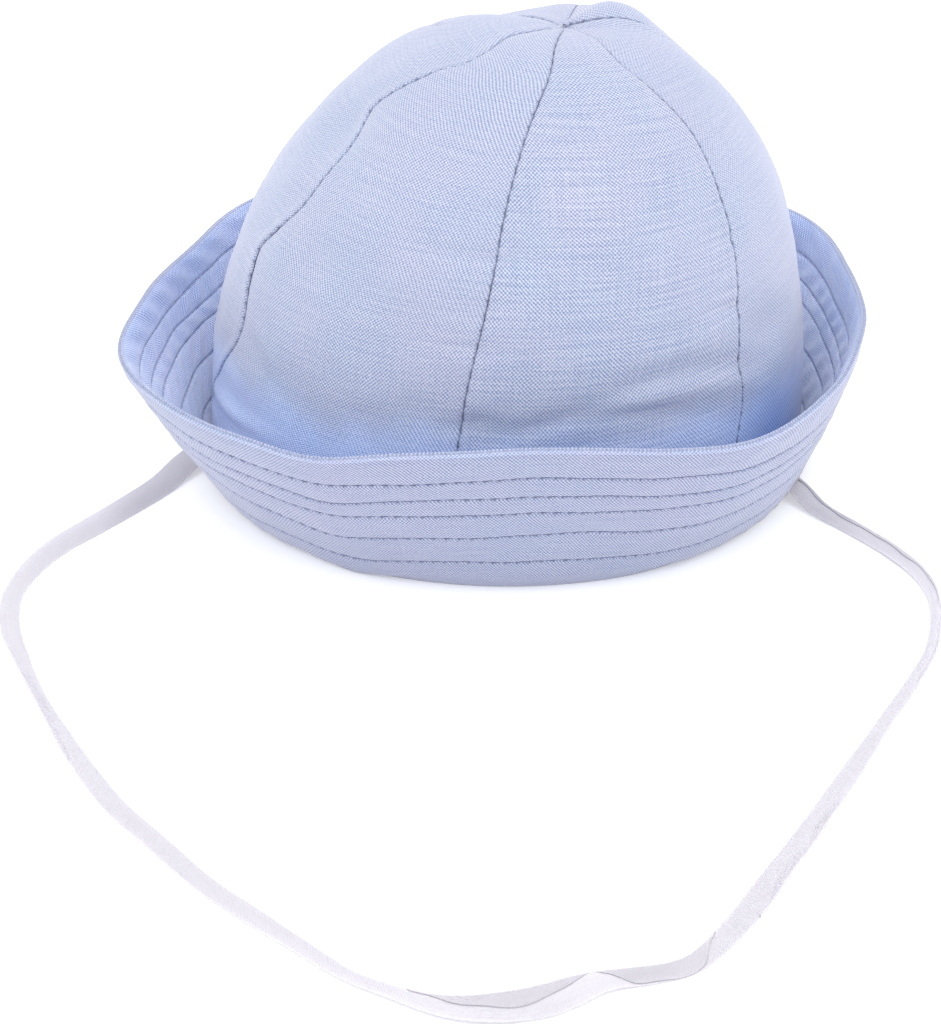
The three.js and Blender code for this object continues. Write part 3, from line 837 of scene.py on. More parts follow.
def even_path(points, count):
    """Points evenly spaced by length on a smooth curve through the given ones."""
    run = np.concatenate([[0], np.cumsum(np.linalg.norm(np.diff(points, axis=0), axis=1))])
    fine = np.linspace(0, run[-1], 4000)
    curve = np.stack([smooth_through(run, points[:, i], fine) for i in range(3)], -1)
    length = np.concatenate([[0], np.cumsum(np.linalg.norm(np.diff(curve, axis=0), axis=1))])
    at = np.linspace(0, length[-1], count)
    return np.stack([np.interp(at, length, curve[:, i]) for i in range(3)], -1), at


TAPE_RINGS = 620
tape_line, tape_run = even_path(tape_points(), TAPE_RINGS)
print("tape length", tape_run[-1], "mm")

# %% [markdown]
# The tape is about 6.5 mm wide, but it is creased lengthwise, so one margin or the other is folded back over
# it. There its duller wrong side shows. Noise would fold it anywhere, so a table says, place by place, how
# wide the lying part is, how far it has slid aside, how much of it each folded margin covers, and how high
# each edge stands.

# %% How the tape lies
# share of the length, width, slide outwards, inner and outer margin as shares, inner and outer edge height
TAPE_LIE = np.array(
    [
        (0.00, 6.4, -0.6, 0.0, 0.0, 0.0, 1.2),
        (0.03, 6.4, -1.4, 0.0, 0.0, 0.0, 1.5),
        (0.05, 6.4, -1.6, 0.0, 0.0, 0.0, 1.5),
        (0.075, 6.3, -1.4, 0.0, 0.0, 0.0, 1.4),
        (0.1, 6.2, -1.2, 0.0, 0.0, 0.0, 1.2),
        (0.115, 6.0, -1.0, 0.0, 0.0, 0.0, 0.9),
        (0.125, 5.8, -0.8, 0.0, 0.0, 0.0, 0.7),
        (0.137, 5.4, -0.6, 0.0, 0.0, 0.0, 0.5),
        (0.15, 4.8, -0.4, 0.0, 0.0, 0.0, 0.2),
        (0.172, 4.4, 0.0, 0.0, 0.0, 0.0, 0.0),
        (0.19, 4.2, 0.3, 0.0, 0.0, 0.0, 0.0),
        (0.21, 3.5, -0.1, 0.0, 0.08, 0.0, 0.2),
        (0.225, 3.0, 0.4, 0.0, 0.35, 0.0, 0.5),
        (0.243, 2.7, 0.6, 0.0, 0.6, 0.0, 0.7),
        (0.257, 2.8, 0.25, 0.0, 0.5, 0.0, 0.6),
        (0.272, 3.4, -0.2, 0.0, 0.3, 0.0, 0.4),
        (0.29, 4.0, -0.4, 0.0, 0.1, 0.0, 0.2),
        (0.31, 4.2, -0.4, 0.0, 0.0, 0.0, 0.0),
        (0.33, 4.6, 0.1, 0.0, 0.0, 0.0, 0.0),
        (0.36, 4.6, -0.1, 0.0, 0.0, 0.0, 0.1),
        (0.39, 4.4, 0.0, 0.0, 0.0, 0.0, 0.0),
        (0.42, 4.6, -0.4, 0.0, 0.05, 0.0, 0.3),
        (0.443, 3.9, -0.35, 0.0, 0.0, 0.0, 0.4),
        (0.47, 3.3, 0.1, 0.0, 0.0, 0.3, 0.6),
        (0.488, 3.6, -0.3, 0.0, 0.0, 0.6, 0.9),
        (0.5, 4.3, -0.1, 0.12, 0.0, 1.0, 1.0),
        (0.512, 5.4, 0.5, 0.42, 0.0, 1.6, 0.9),
        (0.527, 6.2, 0.9, 0.58, 0.0, 2.2, 0.5),
        (0.54, 6.4, 0.9, 0.56, 0.0, 2.4, 0.3),
        (0.55, 6.2, 0.7, 0.36, 0.0, 2.3, 0.5),
        (0.558, 5.6, 0.4, 0.1, 0.0, 1.8, 0.9),
        (0.564, 5.0, 0.1, 0.0, 0.0, 1.3, 1.0),
        (0.569, 4.7, 0.0, 0.3, 0.0, 1.0, 0.7),
        (0.574, 4.5, 0.0, 1.05, 0.0, 0.8, 0.3),
        (0.588, 4.3, 0.1, 1.1, 0.0, 0.5, 0.0),
        (0.6, 4.3, 0.2, 1.0, 0.0, 0.3, 0.0),
        (0.61, 4.5, 0.2, 0.15, 0.0, 0.1, 0.0),
        (0.628, 5.2, 0.4, 0.0, 0.0, 0.0, 0.0),
        (0.645, 5.6, 0.1, 0.0, 0.1, 0.0, 0.2),
        (0.657, 5.3, -0.2, 0.0, 0.3, 0.0, 0.5),
        (0.67, 4.9, -0.2, 0.0, 0.28, 0.0, 0.5),
        (0.68, 4.8, -0.1, 0.0, 0.1, 0.0, 0.2),
        (0.692, 4.7, 0.0, 0.0, 0.3, 0.0, 0.4),
        (0.705, 4.5, 0.15, 0.0, 0.36, 0.0, 0.5),
        (0.717, 4.3, 0.1, 0.0, 0.06, 0.0, 0.2),
        (0.74, 4.1, 0.35, 0.0, 0.0, 0.0, 0.0),
        (0.77, 3.2, 0.55, 0.0, 0.0, 0.0, 0.2),
        (0.8, 3.0, 0.3, 0.0, 0.06, 0.0, 0.3),
        (0.83, 2.7, -0.2, 0.0, 0.2, 0.0, 0.5),
        (0.857, 2.2, -0.6, 0.0, 0.1, 0.0, 0.8),
        (0.875, 2.3, -0.3, 0.0, 0.1, 0.3, 0.8),
        (0.89, 3.1, -0.1, 0.0, 0.2, 0.5, 0.8),
        (0.91, 4.0, 0.2, 0.0, 0.25, 0.6, 0.8),
        (0.93, 4.4, 0.1, 0.0, 0.25, 0.5, 0.8),
        (0.95, 4.6, 0.0, 0.0, 0.25, 0.3, 0.7),
        (0.97, 4.8, -0.3, 0.0, 0.2, 0.2, 0.6),
        (1.0, 5.4, -0.3, 0.0, 0.1, 0.0, 0.5),
    ]
)
TAPE_THICK, MARGIN_LIFT, CREASE_RADIUS = 0.24, 0.01, 0.13
WIDEST_MARGIN = 1.1

# between the rows the values change evenly, a moving mean rounds the corners, and the free edges are ragged
share = tape_run / tape_run[-1]
lie = np.stack([np.interp(share, TAPE_LIE[:, 0], TAPE_LIE[:, i]) for i in range(1, 7)], -1)
kernel = np.hanning(9) / np.hanning(9).sum()
lie = np.stack([np.convolve(np.pad(column, 4, mode="edge"), kernel, "valid") for column in lie.T], -1)
ragged = 0.035 * np.sin(share * 310) + 0.03 * np.sin(share * 177 + 2)
rag = np.where(lie[:, 2:4] > 0.04, ragged[:, None], 0)
lie[:, 2:4] = np.clip(lie[:, 2:4] + rag, 0.0, WIDEST_MARGIN)
print("lying part", lie[:, 0].min(), "to", lie[:, 0].max(), "mm wide")


# %% The tape's section
BODY_POINTS, HOLLOW = 12, 0.12


def margin(covered, width, points=6, bend=5):
    """Folded margin in the section's own axes, from the edge of the lying part outwards: an arc that turns
    up to half a turn as the margin gets wider, then a straight piece. Shape (rings, points, 2)."""
    folded = np.clip(covered / 0.12, 0, 1)
    folded = folded * folded * (3 - 2 * folded)
    angle = np.pi * folded[:, None] * np.linspace(0, 1, bend + 1)[None, 1:]
    radius = CREASE_RADIUS
    arc = np.stack([radius * np.sin(angle) + 0.02 * np.arange(1, bend + 1), radius * (1 - np.cos(angle))], -1)
    reach = np.maximum(covered * width - radius, 0.12)[:, None] * np.linspace(0, 1, points + 1)[None, 1:]
    end = angle[:, -1:]
    lift = MARGIN_LIFT * folded[:, None] * (reach / 3) ** 1.3
    straight = np.stack([np.cos(end) * reach, np.sin(end) * reach + lift], -1)
    return np.concatenate([arc, arc[:, -1:] + straight], 1)


def tape_sections():
    """Middle line of each ring's section, width outwards and height upwards, from the inner margin's free
    edge to the outer margin's, and its normals. The body goes straight from one edge's height to the other's
    with a slight sine hollow."""
    width, slide, inner, outer, inner_height, outer_height = lie.T
    across = np.linspace(-0.5, 0.5, BODY_POINTS)
    body_y = width[:, None] * across[None, :]
    tilt = np.linspace(0, 1, BODY_POINTS)[None, :]
    hollow = HOLLOW * np.sin(np.pi * tilt) * np.sin(share * 47)[:, None]
    body_z = inner_height[:, None] * (1 - tilt) + outer_height[:, None] * tilt + hollow
    body = np.stack([body_y, body_z], -1)
    left, right = margin(inner, width), margin(outer, width)
    slope = np.arctan2(outer_height - inner_height, width)
    cos, sin = np.cos(slope)[:, None], np.sin(slope)[:, None]

    def turned(part, mirror, start):
        """The margin mirrored or not, turned by the body's slope and set on its edge."""
        y, z = mirror * part[..., 0], part[..., 1]
        return start[:, None] + np.stack([y * cos - z * sin, y * sin + z * cos], -1)

    left = turned(left, -1, body[:, 0])[:, ::-1]
    right = turned(right, 1, body[:, -1])
    middle = np.concatenate([left, body, right], 1)
    middle[..., 0] += slide[:, None]
    step = np.gradient(middle, axis=1)
    step /= np.linalg.norm(step, axis=-1, keepdims=True)
    normal = np.stack([-step[..., 1], step[..., 0]], -1)
    return middle, normal


# %% The sections along the route
LOWEST_TAPE, TAPE_SINK = 0.1, 0.12
middle, normal = tape_sections()
top, under = middle + normal * TAPE_THICK / 2, middle - normal * TAPE_THICK / 2
ring = np.concatenate([under, top[:, ::-1]], 1)
tangent = np.gradient(tape_line, axis=0)
tangent /= np.linalg.norm(tangent, axis=1, keepdims=True)
sideways = np.cross(tangent, [0, 0, 1])
sideways /= np.linalg.norm(sideways, axis=1, keepdims=True)
upwards = np.cross(sideways, tangent)
lowered = tape_line - np.array([0, 0, 1]) * (TAPE_PLY + FLOOR_GAP - TAPE_THICK / 2 - TAPE_SINK)
tape_mesh_points = lowered[:, None] + ring[..., :1] * sideways[:, None] + ring[..., 1:] * upwards[:, None]
tape_mesh_points[..., 2] = np.maximum(tape_mesh_points[..., 2], LOWEST_TAPE)
print("tape lowest", tape_mesh_points[..., 2].min(), "highest", tape_mesh_points[..., 2].max(), "mm")

# %% The tape as one closed strip
ring_size = ring.shape[1]
half_ring = ring_size // 2
last = np.arange(TAPE_RINGS - 1) * ring_size
closing = np.stack([last + ring_size - 1, last, last + ring_size, last + 2 * ring_size - 1], 1)
tape_faces = np.concatenate([grid_faces(TAPE_RINGS, ring_size), closing]).tolist()
ladder = np.arange(half_ring - 1)
ends = np.stack([ladder, ladder + 1, ring_size - 2 - ladder, ring_size - 1 - ladder], 1)
tape_faces += ends[:, ::-1].tolist()
tape_faces += (ends + (TAPE_RINGS - 1) * ring_size).tolist()
flat_steps = np.linalg.norm(np.diff(middle, axis=1), axis=-1)
flat_run = np.concatenate([np.zeros((TAPE_RINGS, 1)), np.cumsum(flat_steps, 1)], 1)
flat_run -= flat_run[:, half_ring // 2, None]
tape_along = np.broadcast_to(tape_run[:, None], (TAPE_RINGS, ring_size))
tape_uv = np.stack([tape_along, np.concatenate([flat_run, flat_run[:, ::-1]], 1)], -1)
wrong_side = np.concatenate([np.ones_like(flat_run), np.zeros_like(flat_run)], 1)
chin_tape_cloth = new_piece(
    "chin_tape_cloth", tape_mesh_points, tape_faces, tape_uv, np.stack([wrong_side, tape_along], -1)
)
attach(chin_tape_cloth, "root")
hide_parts("chin_tape")
print(chin_tape_cloth.name, len(chin_tape_cloth.data.polygons), "faces")

# %% [markdown]
# ## Finishes
#
# The finishes are node trees. A few helpers keep each node to one short line. Effects that more than one
# material uses are node groups, so that a change in one place reaches them all.


# %% Node helpers
def add_node(tree, kind, **settings):
    """A node with some of its settings set."""
    node = tree.nodes.new(kind)
    for name, value in settings.items():
        setattr(node, name, value)
    return node


def math_node(tree, operation, first, second=None, clamp=False):
    """A Math node whose inputs are numbers or sockets; gives its output."""
    node = add_node(tree, "ShaderNodeMath", operation=operation, use_clamp=clamp)
    for socket, value in zip(node.inputs, (first, second)):
        if value is None:
            continue
        if isinstance(value, (int, float)):
            socket.default_value = value
        else:
            tree.links.new(value, socket)
    return node.outputs[0]


def mix_colour(tree, factor, first, second, blend="MIX"):
    """A Mix node for colours, each a socket or three numbers; gives its output."""
    node = add_node(tree, "ShaderNodeMix", data_type="RGBA", blend_type=blend)
    for number, value in ((0, factor), (6, first), (7, second)):
        socket = node.inputs[number]
        if isinstance(value, bpy.types.NodeSocket):
            tree.links.new(value, socket)
        elif number == 0:
            socket.default_value = value
        else:
            socket.default_value = (*value, 1.0)
    return node.outputs[2]


def noise_node(tree, scale, detail, vector, dimensions="2D"):
    """A Noise node that reads a place from a socket."""
    node = add_node(tree, "ShaderNodeTexNoise", noise_dimensions=dimensions)
    node.inputs["Scale"].default_value = scale
    node.inputs["Detail"].default_value = detail
    tree.links.new(vector, node.inputs["Vector"])
    return node


def scaled_vector(tree, vector, scale):
    """A place with each of its coordinates times its own factor."""
    node = add_node(tree, "ShaderNodeVectorMath", operation="MULTIPLY")
    tree.links.new(vector, node.inputs[0])
    node.inputs[1].default_value = scale
    return node.outputs[0]


def multiply_add(tree, value, factor, offset):
    """value * factor + offset, where factor may be a socket."""
    node = math_node(tree, "MULTIPLY_ADD", value, factor).node
    node.inputs[2].default_value = offset
    return node.outputs[0]


# %% [markdown]
# ## Weave
#
# Chambray is woven from blue yarns one way and white yarns the other. Where they cross, one or the other
# is on top, which makes a tiny chequer that the eye reads as slanted lines. A picture of cloth could be
# repeated over the faces, but a formula has no edges and stays sharp. The chequer is the product of two
# cosines, and that product is the sum of two sets of slanted waves, so the group can favour one slant.


# %% Weave group
def weave_group():
    """Woven cloth from its flat coordinates in millimetres: how much white yarn shows, and the height."""
    tree = bpy.data.node_groups.new("Chambray weave", "ShaderNodeTree")
    for name, kind, value in (
        ("Cloth", "NodeSocketVector", None),
        ("Yarn", "NodeSocketFloat", 0.47),
        ("Slant", "NodeSocketFloat", 0.7),
        ("Slub", "NodeSocketFloat", 0.5),
        ("Contrast", "NodeSocketFloat", 0.6),
    ):
        socket = tree.interface.new_socket(name, in_out="INPUT", socket_type=kind)
        if value is not None:
            socket.default_value = value
    tree.interface.new_socket("White", in_out="OUTPUT", socket_type="NodeSocketFloat")
    tree.interface.new_socket("Height", in_out="OUTPUT", socket_type="NodeSocketFloat")
    start, end = tree.nodes.new("NodeGroupInput"), tree.nodes.new("NodeGroupOutput")
    cloth = start.outputs["Cloth"]

    # the yarns never run quite straight
    wobble = noise_node(tree, 0.045, 3.0, cloth)
    shake = add_node(tree, "ShaderNodeVectorMath", operation="MULTIPLY_ADD")
    tree.links.new(wobble.outputs["Color"], shake.inputs[0])
    shake.inputs[1].default_value = (1.5, 1.5, 0)
    tree.links.new(cloth, shake.inputs[2])
    split = add_node(tree, "ShaderNodeSeparateXYZ")
    tree.links.new(shake.outputs[0], split.inputs[0])

    # two sets of slanted waves, whose sum is the chequer
    turn = math_node(tree, "DIVIDE", float(np.pi), start.outputs["Yarn"])
    waves = []
    for sign in ("ADD", "SUBTRACT"):
        slant = math_node(tree, sign, split.outputs[0], split.outputs[1])
        waves.append(math_node(tree, "COSINE", math_node(tree, "MULTIPLY", slant, turn)))
    favour = noise_node(tree, 0.05, 1.0, cloth)
    weight = math_node(
        tree, "ADD", multiply_add(tree, favour.outputs["Fac"], 0.5, -0.25), start.outputs["Slant"], clamp=True
    )
    first = math_node(tree, "MULTIPLY", waves[0], weight)
    second = math_node(tree, "MULTIPLY", waves[1], math_node(tree, "SUBTRACT", 1.0, weight))
    both = math_node(tree, "ADD", first, second)

    # thick and thin yarns, seen as long thin streaks both ways
    weft = noise_node(tree, 1.0, 2.0, scaled_vector(tree, cloth, (0.05, 1.9, 0)))
    warp = noise_node(tree, 1.0, 2.0, scaled_vector(tree, cloth, (1.9, 0.05, 0)))
    streaks = math_node(tree, "ADD", weft.outputs["Fac"], multiply_add(tree, warp.outputs["Fac"], 0.45, -0.725))
    streaks = math_node(tree, "MULTIPLY", streaks, start.outputs["Slub"])
    grain = noise_node(tree, 2.1, 1.0, cloth)
    speck = multiply_add(tree, grain.outputs["Fac"], 0.8, -0.4)
    white = multiply_add(tree, both, start.outputs["Contrast"], 0.5)
    white = math_node(tree, "ADD", math_node(tree, "ADD", white, streaks), speck, clamp=True)
    tree.links.new(white, end.inputs["White"])
    tree.links.new(both, end.inputs["Height"])
    return tree


WEAVE = weave_group()
print(WEAVE.name, len(WEAVE.nodes), "nodes")

# %% [markdown]
# ## Washed patches and stitched lines
#
# Washing fades cloth in slow patches, which a noise gives, and the patches also darken a little as a painted
# shade of small wrinkles. Along a stitched line the cloth is pulled in, and the line takes the thread's dark
# colour and a painted shade of that dip, darkest in the needle holes, which are painted shade. Painted masks
# would need a picture, so the patches come from a noise, and the line from the distance to it and the place
# along it, which every cloth piece stores.


# %% Washed patches group, partly painted shade
def fade_and_shade_group():
    """Slow patches where sun and washing have left the cloth a little more blue or a little pinker; where the
    patches are strongest the yarn colours are also a little darker, a painted shade of small wrinkles.
    """
    tree = bpy.data.node_groups.new("Washed and shaded patches", "ShaderNodeTree")
    tree.interface.new_socket("Patch", in_out="OUTPUT", socket_type="NodeSocketFloat")
    place = tree.nodes.new("ShaderNodeTexCoord")
    noise = add_node(tree, "ShaderNodeTexNoise")
    noise.inputs["Scale"].default_value = 38.0
    noise.inputs["Detail"].default_value = 3.0
    noise.inputs["Roughness"].default_value = 0.6
    tree.links.new(place.outputs["Object"], noise.inputs["Vector"])
    spread = add_node(tree, "ShaderNodeMapRange")
    spread.inputs["From Min"].default_value = 0.32
    spread.inputs["From Max"].default_value = 0.68
    tree.links.new(noise.outputs["Fac"], spread.inputs["Value"])
    end = tree.nodes.new("NodeGroupOutput")
    tree.links.new(spread.outputs["Result"], end.inputs["Patch"])
    return tree


PATCHES = fade_and_shade_group()
print(PATCHES.name, len(PATCHES.nodes), "nodes")


# %% Stitched line group
def stitch_line_group():
    """Dark thread line exp(-(away / width)^2), and needle holes, the same bell round the middle of each gap
    between two stitches. The line stands for the thread's colour and the painted shade of its dip, and the
    holes are painted shade."""
    tree = bpy.data.node_groups.new("Stitched line", "ShaderNodeTree")
    for name, kind, value in (
        ("Seam", "NodeSocketVector", None),
        ("Pitch", "NodeSocketFloat", STITCH),
        ("Line width", "NodeSocketFloat", 0.3),
        ("Hole width", "NodeSocketFloat", 0.45),
    ):
        socket = tree.interface.new_socket(name, in_out="INPUT", socket_type=kind)
        if value is not None:
            socket.default_value = value
    tree.interface.new_socket("Line", in_out="OUTPUT", socket_type="NodeSocketFloat")
    tree.interface.new_socket("Hole", in_out="OUTPUT", socket_type="NodeSocketFloat")
    start, end = tree.nodes.new("NodeGroupInput"), tree.nodes.new("NodeGroupOutput")
    split = add_node(tree, "ShaderNodeSeparateXYZ")
    tree.links.new(start.outputs["Seam"], split.inputs[0])
    away, along = split.outputs[0], split.outputs[1]
    near = math_node(tree, "DIVIDE", away, start.outputs["Line width"])
    near = math_node(tree, "MULTIPLY", near, near)
    line = math_node(tree, "EXPONENT", math_node(tree, "MULTIPLY", near, -1.0))
    step = math_node(tree, "DIVIDE", along, start.outputs["Pitch"])
    phase = math_node(tree, "ABSOLUTE", math_node(tree, "SUBTRACT", math_node(tree, "FRACT", step), 0.5))
    from_hole = math_node(tree, "MULTIPLY", math_node(tree, "SUBTRACT", 0.5, phase), start.outputs["Pitch"])
    squared = math_node(
        tree, "ADD", math_node(tree, "MULTIPLY", from_hole, from_hole), math_node(tree, "MULTIPLY", away, away)
    )
    wide = math_node(tree, "MULTIPLY", start.outputs["Hole width"], start.outputs["Hole width"])
    hole = math_node(tree, "EXPONENT", math_node(tree, "MULTIPLY", math_node(tree, "DIVIDE", squared, wide), -1.0))
    tree.links.new(line, end.inputs["Line"])
    tree.links.new(hole, end.inputs["Hole"])
    return tree


STITCH_LINE = stitch_line_group()
print(STITCH_LINE.name, len(STITCH_LINE.nodes), "nodes")

# %% [markdown]
# ## Painted light at the base
#
# Low between crown and brim light only arrives off other blue cloth, again and again, so it turns deep blue. More
# light bounces in the render would show some of that, slowly. A mask by height and one round a point paint that
# bounce light, and a dark blue shade where the brim comes closest, into the cloth's colour instead, and they cost
# nothing.


# %% Painted base light group
def base_light_paint_group():
    """Masks for painting light and shade into the cloth low between crown and brim, where light only arrives off
    other blue cloth: a zone all round, painted lighter as bounce light, and the narrow place on the right where
    the brim comes closest, painted as a dark blue shade."""
    tree = bpy.data.node_groups.new("Painted base light", "ShaderNodeTree")
    for name, value in (("Top", 0.044), ("Bottom", 0.031), ("Reach", 0.017)):
        tree.interface.new_socket(name, in_out="INPUT", socket_type="NodeSocketFloat").default_value = value
    tree.interface.new_socket("Mask", in_out="OUTPUT", socket_type="NodeSocketFloat")
    tree.interface.new_socket("Deep", in_out="OUTPUT", socket_type="NodeSocketFloat")
    start, end = tree.nodes.new("NodeGroupInput"), tree.nodes.new("NodeGroupOutput")
    place = tree.nodes.new("ShaderNodeTexCoord")
    split = add_node(tree, "ShaderNodeSeparateXYZ")
    tree.links.new(place.outputs["Object"], split.inputs[0])
    noise = noise_node(tree, 55.0, 2.0, place.outputs["Object"], "3D")
    height = math_node(tree, "ADD", split.outputs[2], multiply_add(tree, noise.outputs["Fac"], 0.012, -0.006))
    ramp = add_node(tree, "ShaderNodeMapRange", interpolation_type="SMOOTHSTEP")
    tree.links.new(height, ramp.inputs["Value"])
    tree.links.new(start.outputs["Top"], ramp.inputs["From Min"])
    tree.links.new(start.outputs["Bottom"], ramp.inputs["From Max"])
    tree.links.new(ramp.outputs["Result"], end.inputs["Mask"])
    away = add_node(tree, "ShaderNodeVectorMath", operation="DISTANCE")
    tree.links.new(place.outputs["Object"], away.inputs[0])
    away.inputs[1].default_value = (0.069, -0.036, 0.022)
    near = math_node(tree, "DIVIDE", away.outputs["Value"], start.outputs["Reach"])
    squared = math_node(tree, "MULTIPLY", near, near)
    tree.links.new(math_node(tree, "EXPONENT", math_node(tree, "MULTIPLY", squared, -1.0)), end.inputs["Deep"])
    return tree


BASE_LIGHT_PAINT = base_light_paint_group()
print(BASE_LIGHT_PAINT.name, len(BASE_LIGHT_PAINT.nodes), "nodes")


# %% [markdown]
# ## Chambray
#
# The weave's mask mixes the blue and the white yarn, and the patches pull the blue towards lilac or sky and a
# little darker, partly a painted shade of small wrinkles. Stitched lines and their needle holes are darkened by
# the thread's colour and painted shade, the cloth low at the crown's foot is painted lighter and more blue as
# bounce light, and a painted dark blue shade lies where the brim comes closest.
# One function makes all the blue cloth, and its settings say what sets one piece apart from the next.


# %% Chambray material
WHITE_YARN, BLUE_YARN = (0.52, 0.535, 0.605), (0.166, 0.213, 0.37)
# the last of these colours is a painted dark blue shade where the brim comes closest to the crown
LINE_SHADE, HOLE_SHADE, DEEP_SHADE_TINT = (0.22, 0.25, 0.38), (0.08, 0.10, 0.18), (0.55, 0.74, 1.0)
# what a washed patch does to each yarn, where it is weakest and where it is strongest; the strongest is also
# # a little darker, partly a painted shade of small wrinkles
BLUE_FADE_AND_SHADE = [(1.05, 1.0, 1.005), (0.9, 0.985, 1.0)]
WHITE_FADE_AND_SHADE = [(1.01, 0.99, 1.0), (0.955, 0.985, 1.0)]
# the foot's colour change is painted bounce light, lighter and more blue
BASE_BOUNCE_TINT = (1.1, 1.22, 1.34)


def chambray(
    name,
    slant,
    contrast,
    slub,
    base=0.0,
    deep=1.0,
    zone=(0.044, 0.031),
    tint=BASE_BOUNCE_TINT,
    line=0.6,
    hole=0.9,
    pitch=STITCH,
    tone_and_light=(1, 1, 1),
    through=0.0,
    widths=(0.26, 0.4),
):
    """Blue and white cloth; slant and contrast are numbers, or four of them: two places along the cloth and
    the values there, where contrast is the same on both sides of the front. Base, deep, zone and tint set the
    painted bounce light low at the crown's foot and its painted dark blue shade; line, hole, pitch and widths
    the stitched line; the yarn factor multiplies both yarns, as the cloth's own tone on the brim's outside and
    as painted light on its rim and inside; through is how much of the light comes through the thin cloth."""
    material = bpy.data.materials.new(name)
    material.use_nodes = True
    tree = material.node_tree
    shader = tree.nodes["Principled BSDF"]
    shader.inputs["Roughness"].default_value = 0.88
    shader.inputs["Specular IOR Level"].default_value = 0.25
    shader.inputs["Subsurface Weight"].default_value = through
    shader.inputs["Subsurface Radius"].default_value = (1.0, 1.0, 1.0)
    shader.inputs["Subsurface Scale"].default_value = 0.004
    shader.inputs["Sheen Weight"].default_value = 0.35
    shader.inputs["Sheen Roughness"].default_value = 0.5
    shader.inputs["Sheen Tint"].default_value = (1.0, 0.96, 1.0, 1.0)
    cloth = add_node(tree, "ShaderNodeUVMap", uv_map="cloth")
    weave = add_node(tree, "ShaderNodeGroup", node_tree=WEAVE)
    run = add_node(tree, "ShaderNodeSeparateXYZ")
    tree.links.new(cloth.outputs[0], run.inputs[0])
    for title, value in (("Slant", slant), ("Contrast", contrast)):
        if isinstance(value, tuple):
            place = run.outputs[0] if title == "Slant" else math_node(tree, "ABSOLUTE", run.outputs[0])
            change = add_node(tree, "ShaderNodeMapRange", interpolation_type="SMOOTHSTEP")
            tree.links.new(place, change.inputs["Value"])
            for socket, number in zip(("From Min", "From Max", "To Min", "To Max"), value):
                change.inputs[socket].default_value = number
            tree.links.new(change.outputs["Result"], weave.inputs[title])
        else:
            weave.inputs[title].default_value = value
    weave.inputs["Slub"].default_value = slub
    tree.links.new(cloth.outputs[0], weave.inputs["Cloth"])
    patches = add_node(tree, "ShaderNodeGroup", node_tree=PATCHES)
    blue = np.array(BLUE_YARN) * tone_and_light
    white = np.array(WHITE_YARN) * tone_and_light
    cool = mix_colour(tree, patches.outputs["Patch"], *(tuple(blue * change) for change in BLUE_FADE_AND_SHADE))
    light = mix_colour(tree, patches.outputs["Patch"], *(tuple(white * change) for change in WHITE_FADE_AND_SHADE))
    colour = mix_colour(tree, weave.outputs["White"], cool, light)
    # painted bounce light low at the foot, and a painted dark blue shade where the brim comes closest
    if base:
        base_paint = add_node(tree, "ShaderNodeGroup", node_tree=BASE_LIGHT_PAINT)
        base_paint.inputs["Top"].default_value, base_paint.inputs["Bottom"].default_value = zone
        shade = mix_colour(tree, 1.0, colour, tint, "MULTIPLY")
        colour = mix_colour(tree, math_node(tree, "MULTIPLY", base_paint.outputs["Mask"], base), colour, shade)
        deep_shade_colour = mix_colour(tree, 1.0, colour, DEEP_SHADE_TINT, "MULTIPLY")
        colour = mix_colour(tree, math_node(tree, "MULTIPLY", base_paint.outputs["Deep"], deep), colour, deep_shade_colour)
    seam = add_node(tree, "ShaderNodeUVMap", uv_map="seam")
    stitched = add_node(tree, "ShaderNodeGroup", node_tree=STITCH_LINE)
    stitched.inputs["Pitch"].default_value = pitch
    stitched.inputs["Line width"].default_value = widths[0]
    stitched.inputs["Hole width"].default_value = widths[1]
    tree.links.new(seam.outputs[0], stitched.inputs["Seam"])
    # the line darkens with the thread's colour and painted shade of its dip, the needle holes with painted shade
    colour = mix_colour(tree, math_node(tree, "MULTIPLY", stitched.outputs["Line"], line), colour, LINE_SHADE)
    colour = mix_colour(tree, math_node(tree, "MULTIPLY", stitched.outputs["Hole"], hole), colour, HOLE_SHADE)
    tree.links.new(colour, shader.inputs["Base Color"])
    bump = add_node(tree, "ShaderNodeBump")
    bump.inputs["Strength"].default_value = 0.35
    bump.inputs["Distance"].default_value = 0.00012
    tree.links.new(weave.outputs["Height"], bump.inputs["Height"])
    tree.links.new(bump.outputs["Normal"], shader.inputs["Normal"])
    return material


# %% Chambray of the six panels
# slant, contrast and slub of each panel, and how much lighter its foot is painted as bounce light
PANEL_WEAVES = {
    "front_left": (0.5, 0.5, 0.35, 1.08),
    "front_right": (0.58, 0.55, 0.6, 1.0),
    "right": (0.62, 0.4, 0.3, 1.0),
    "back_right": (0.5, 0.4, 0.3, 1.0),
    "back_left": (0.55, 0.45, 0.3, 1.0),
    "left": (0.45, 0.5, 0.35, 1.1),
}
for piece, side in zip(crown_pieces, PANELS):
    slant, contrast, slub, painted_foot_light = PANEL_WEAVES[side]
    tint = tuple(painted_foot_light * value for value in BASE_BOUNCE_TINT)
    name = f"chambray {side.replace('_', ' ')}"
    piece.data.materials.append(chambray(name, slant, contrast, slub, base=1.0, tint=tint))
    print(piece.name, "has", name)

# %% [markdown]
# The brim is one piece with three finishes. Outside it looks like the panels. The rim catches the light, so its
# yarns are painted lighter and more blue, a painted highlight. Inside, light comes through the thin cloth and off
# the crown; the subsurface carries some of it, and the yarns are painted lighter and more blue, with a lighter
# foot, as painted light for the rest.
# The faces' places in the section say which finish each takes, and no face is painted by hand.

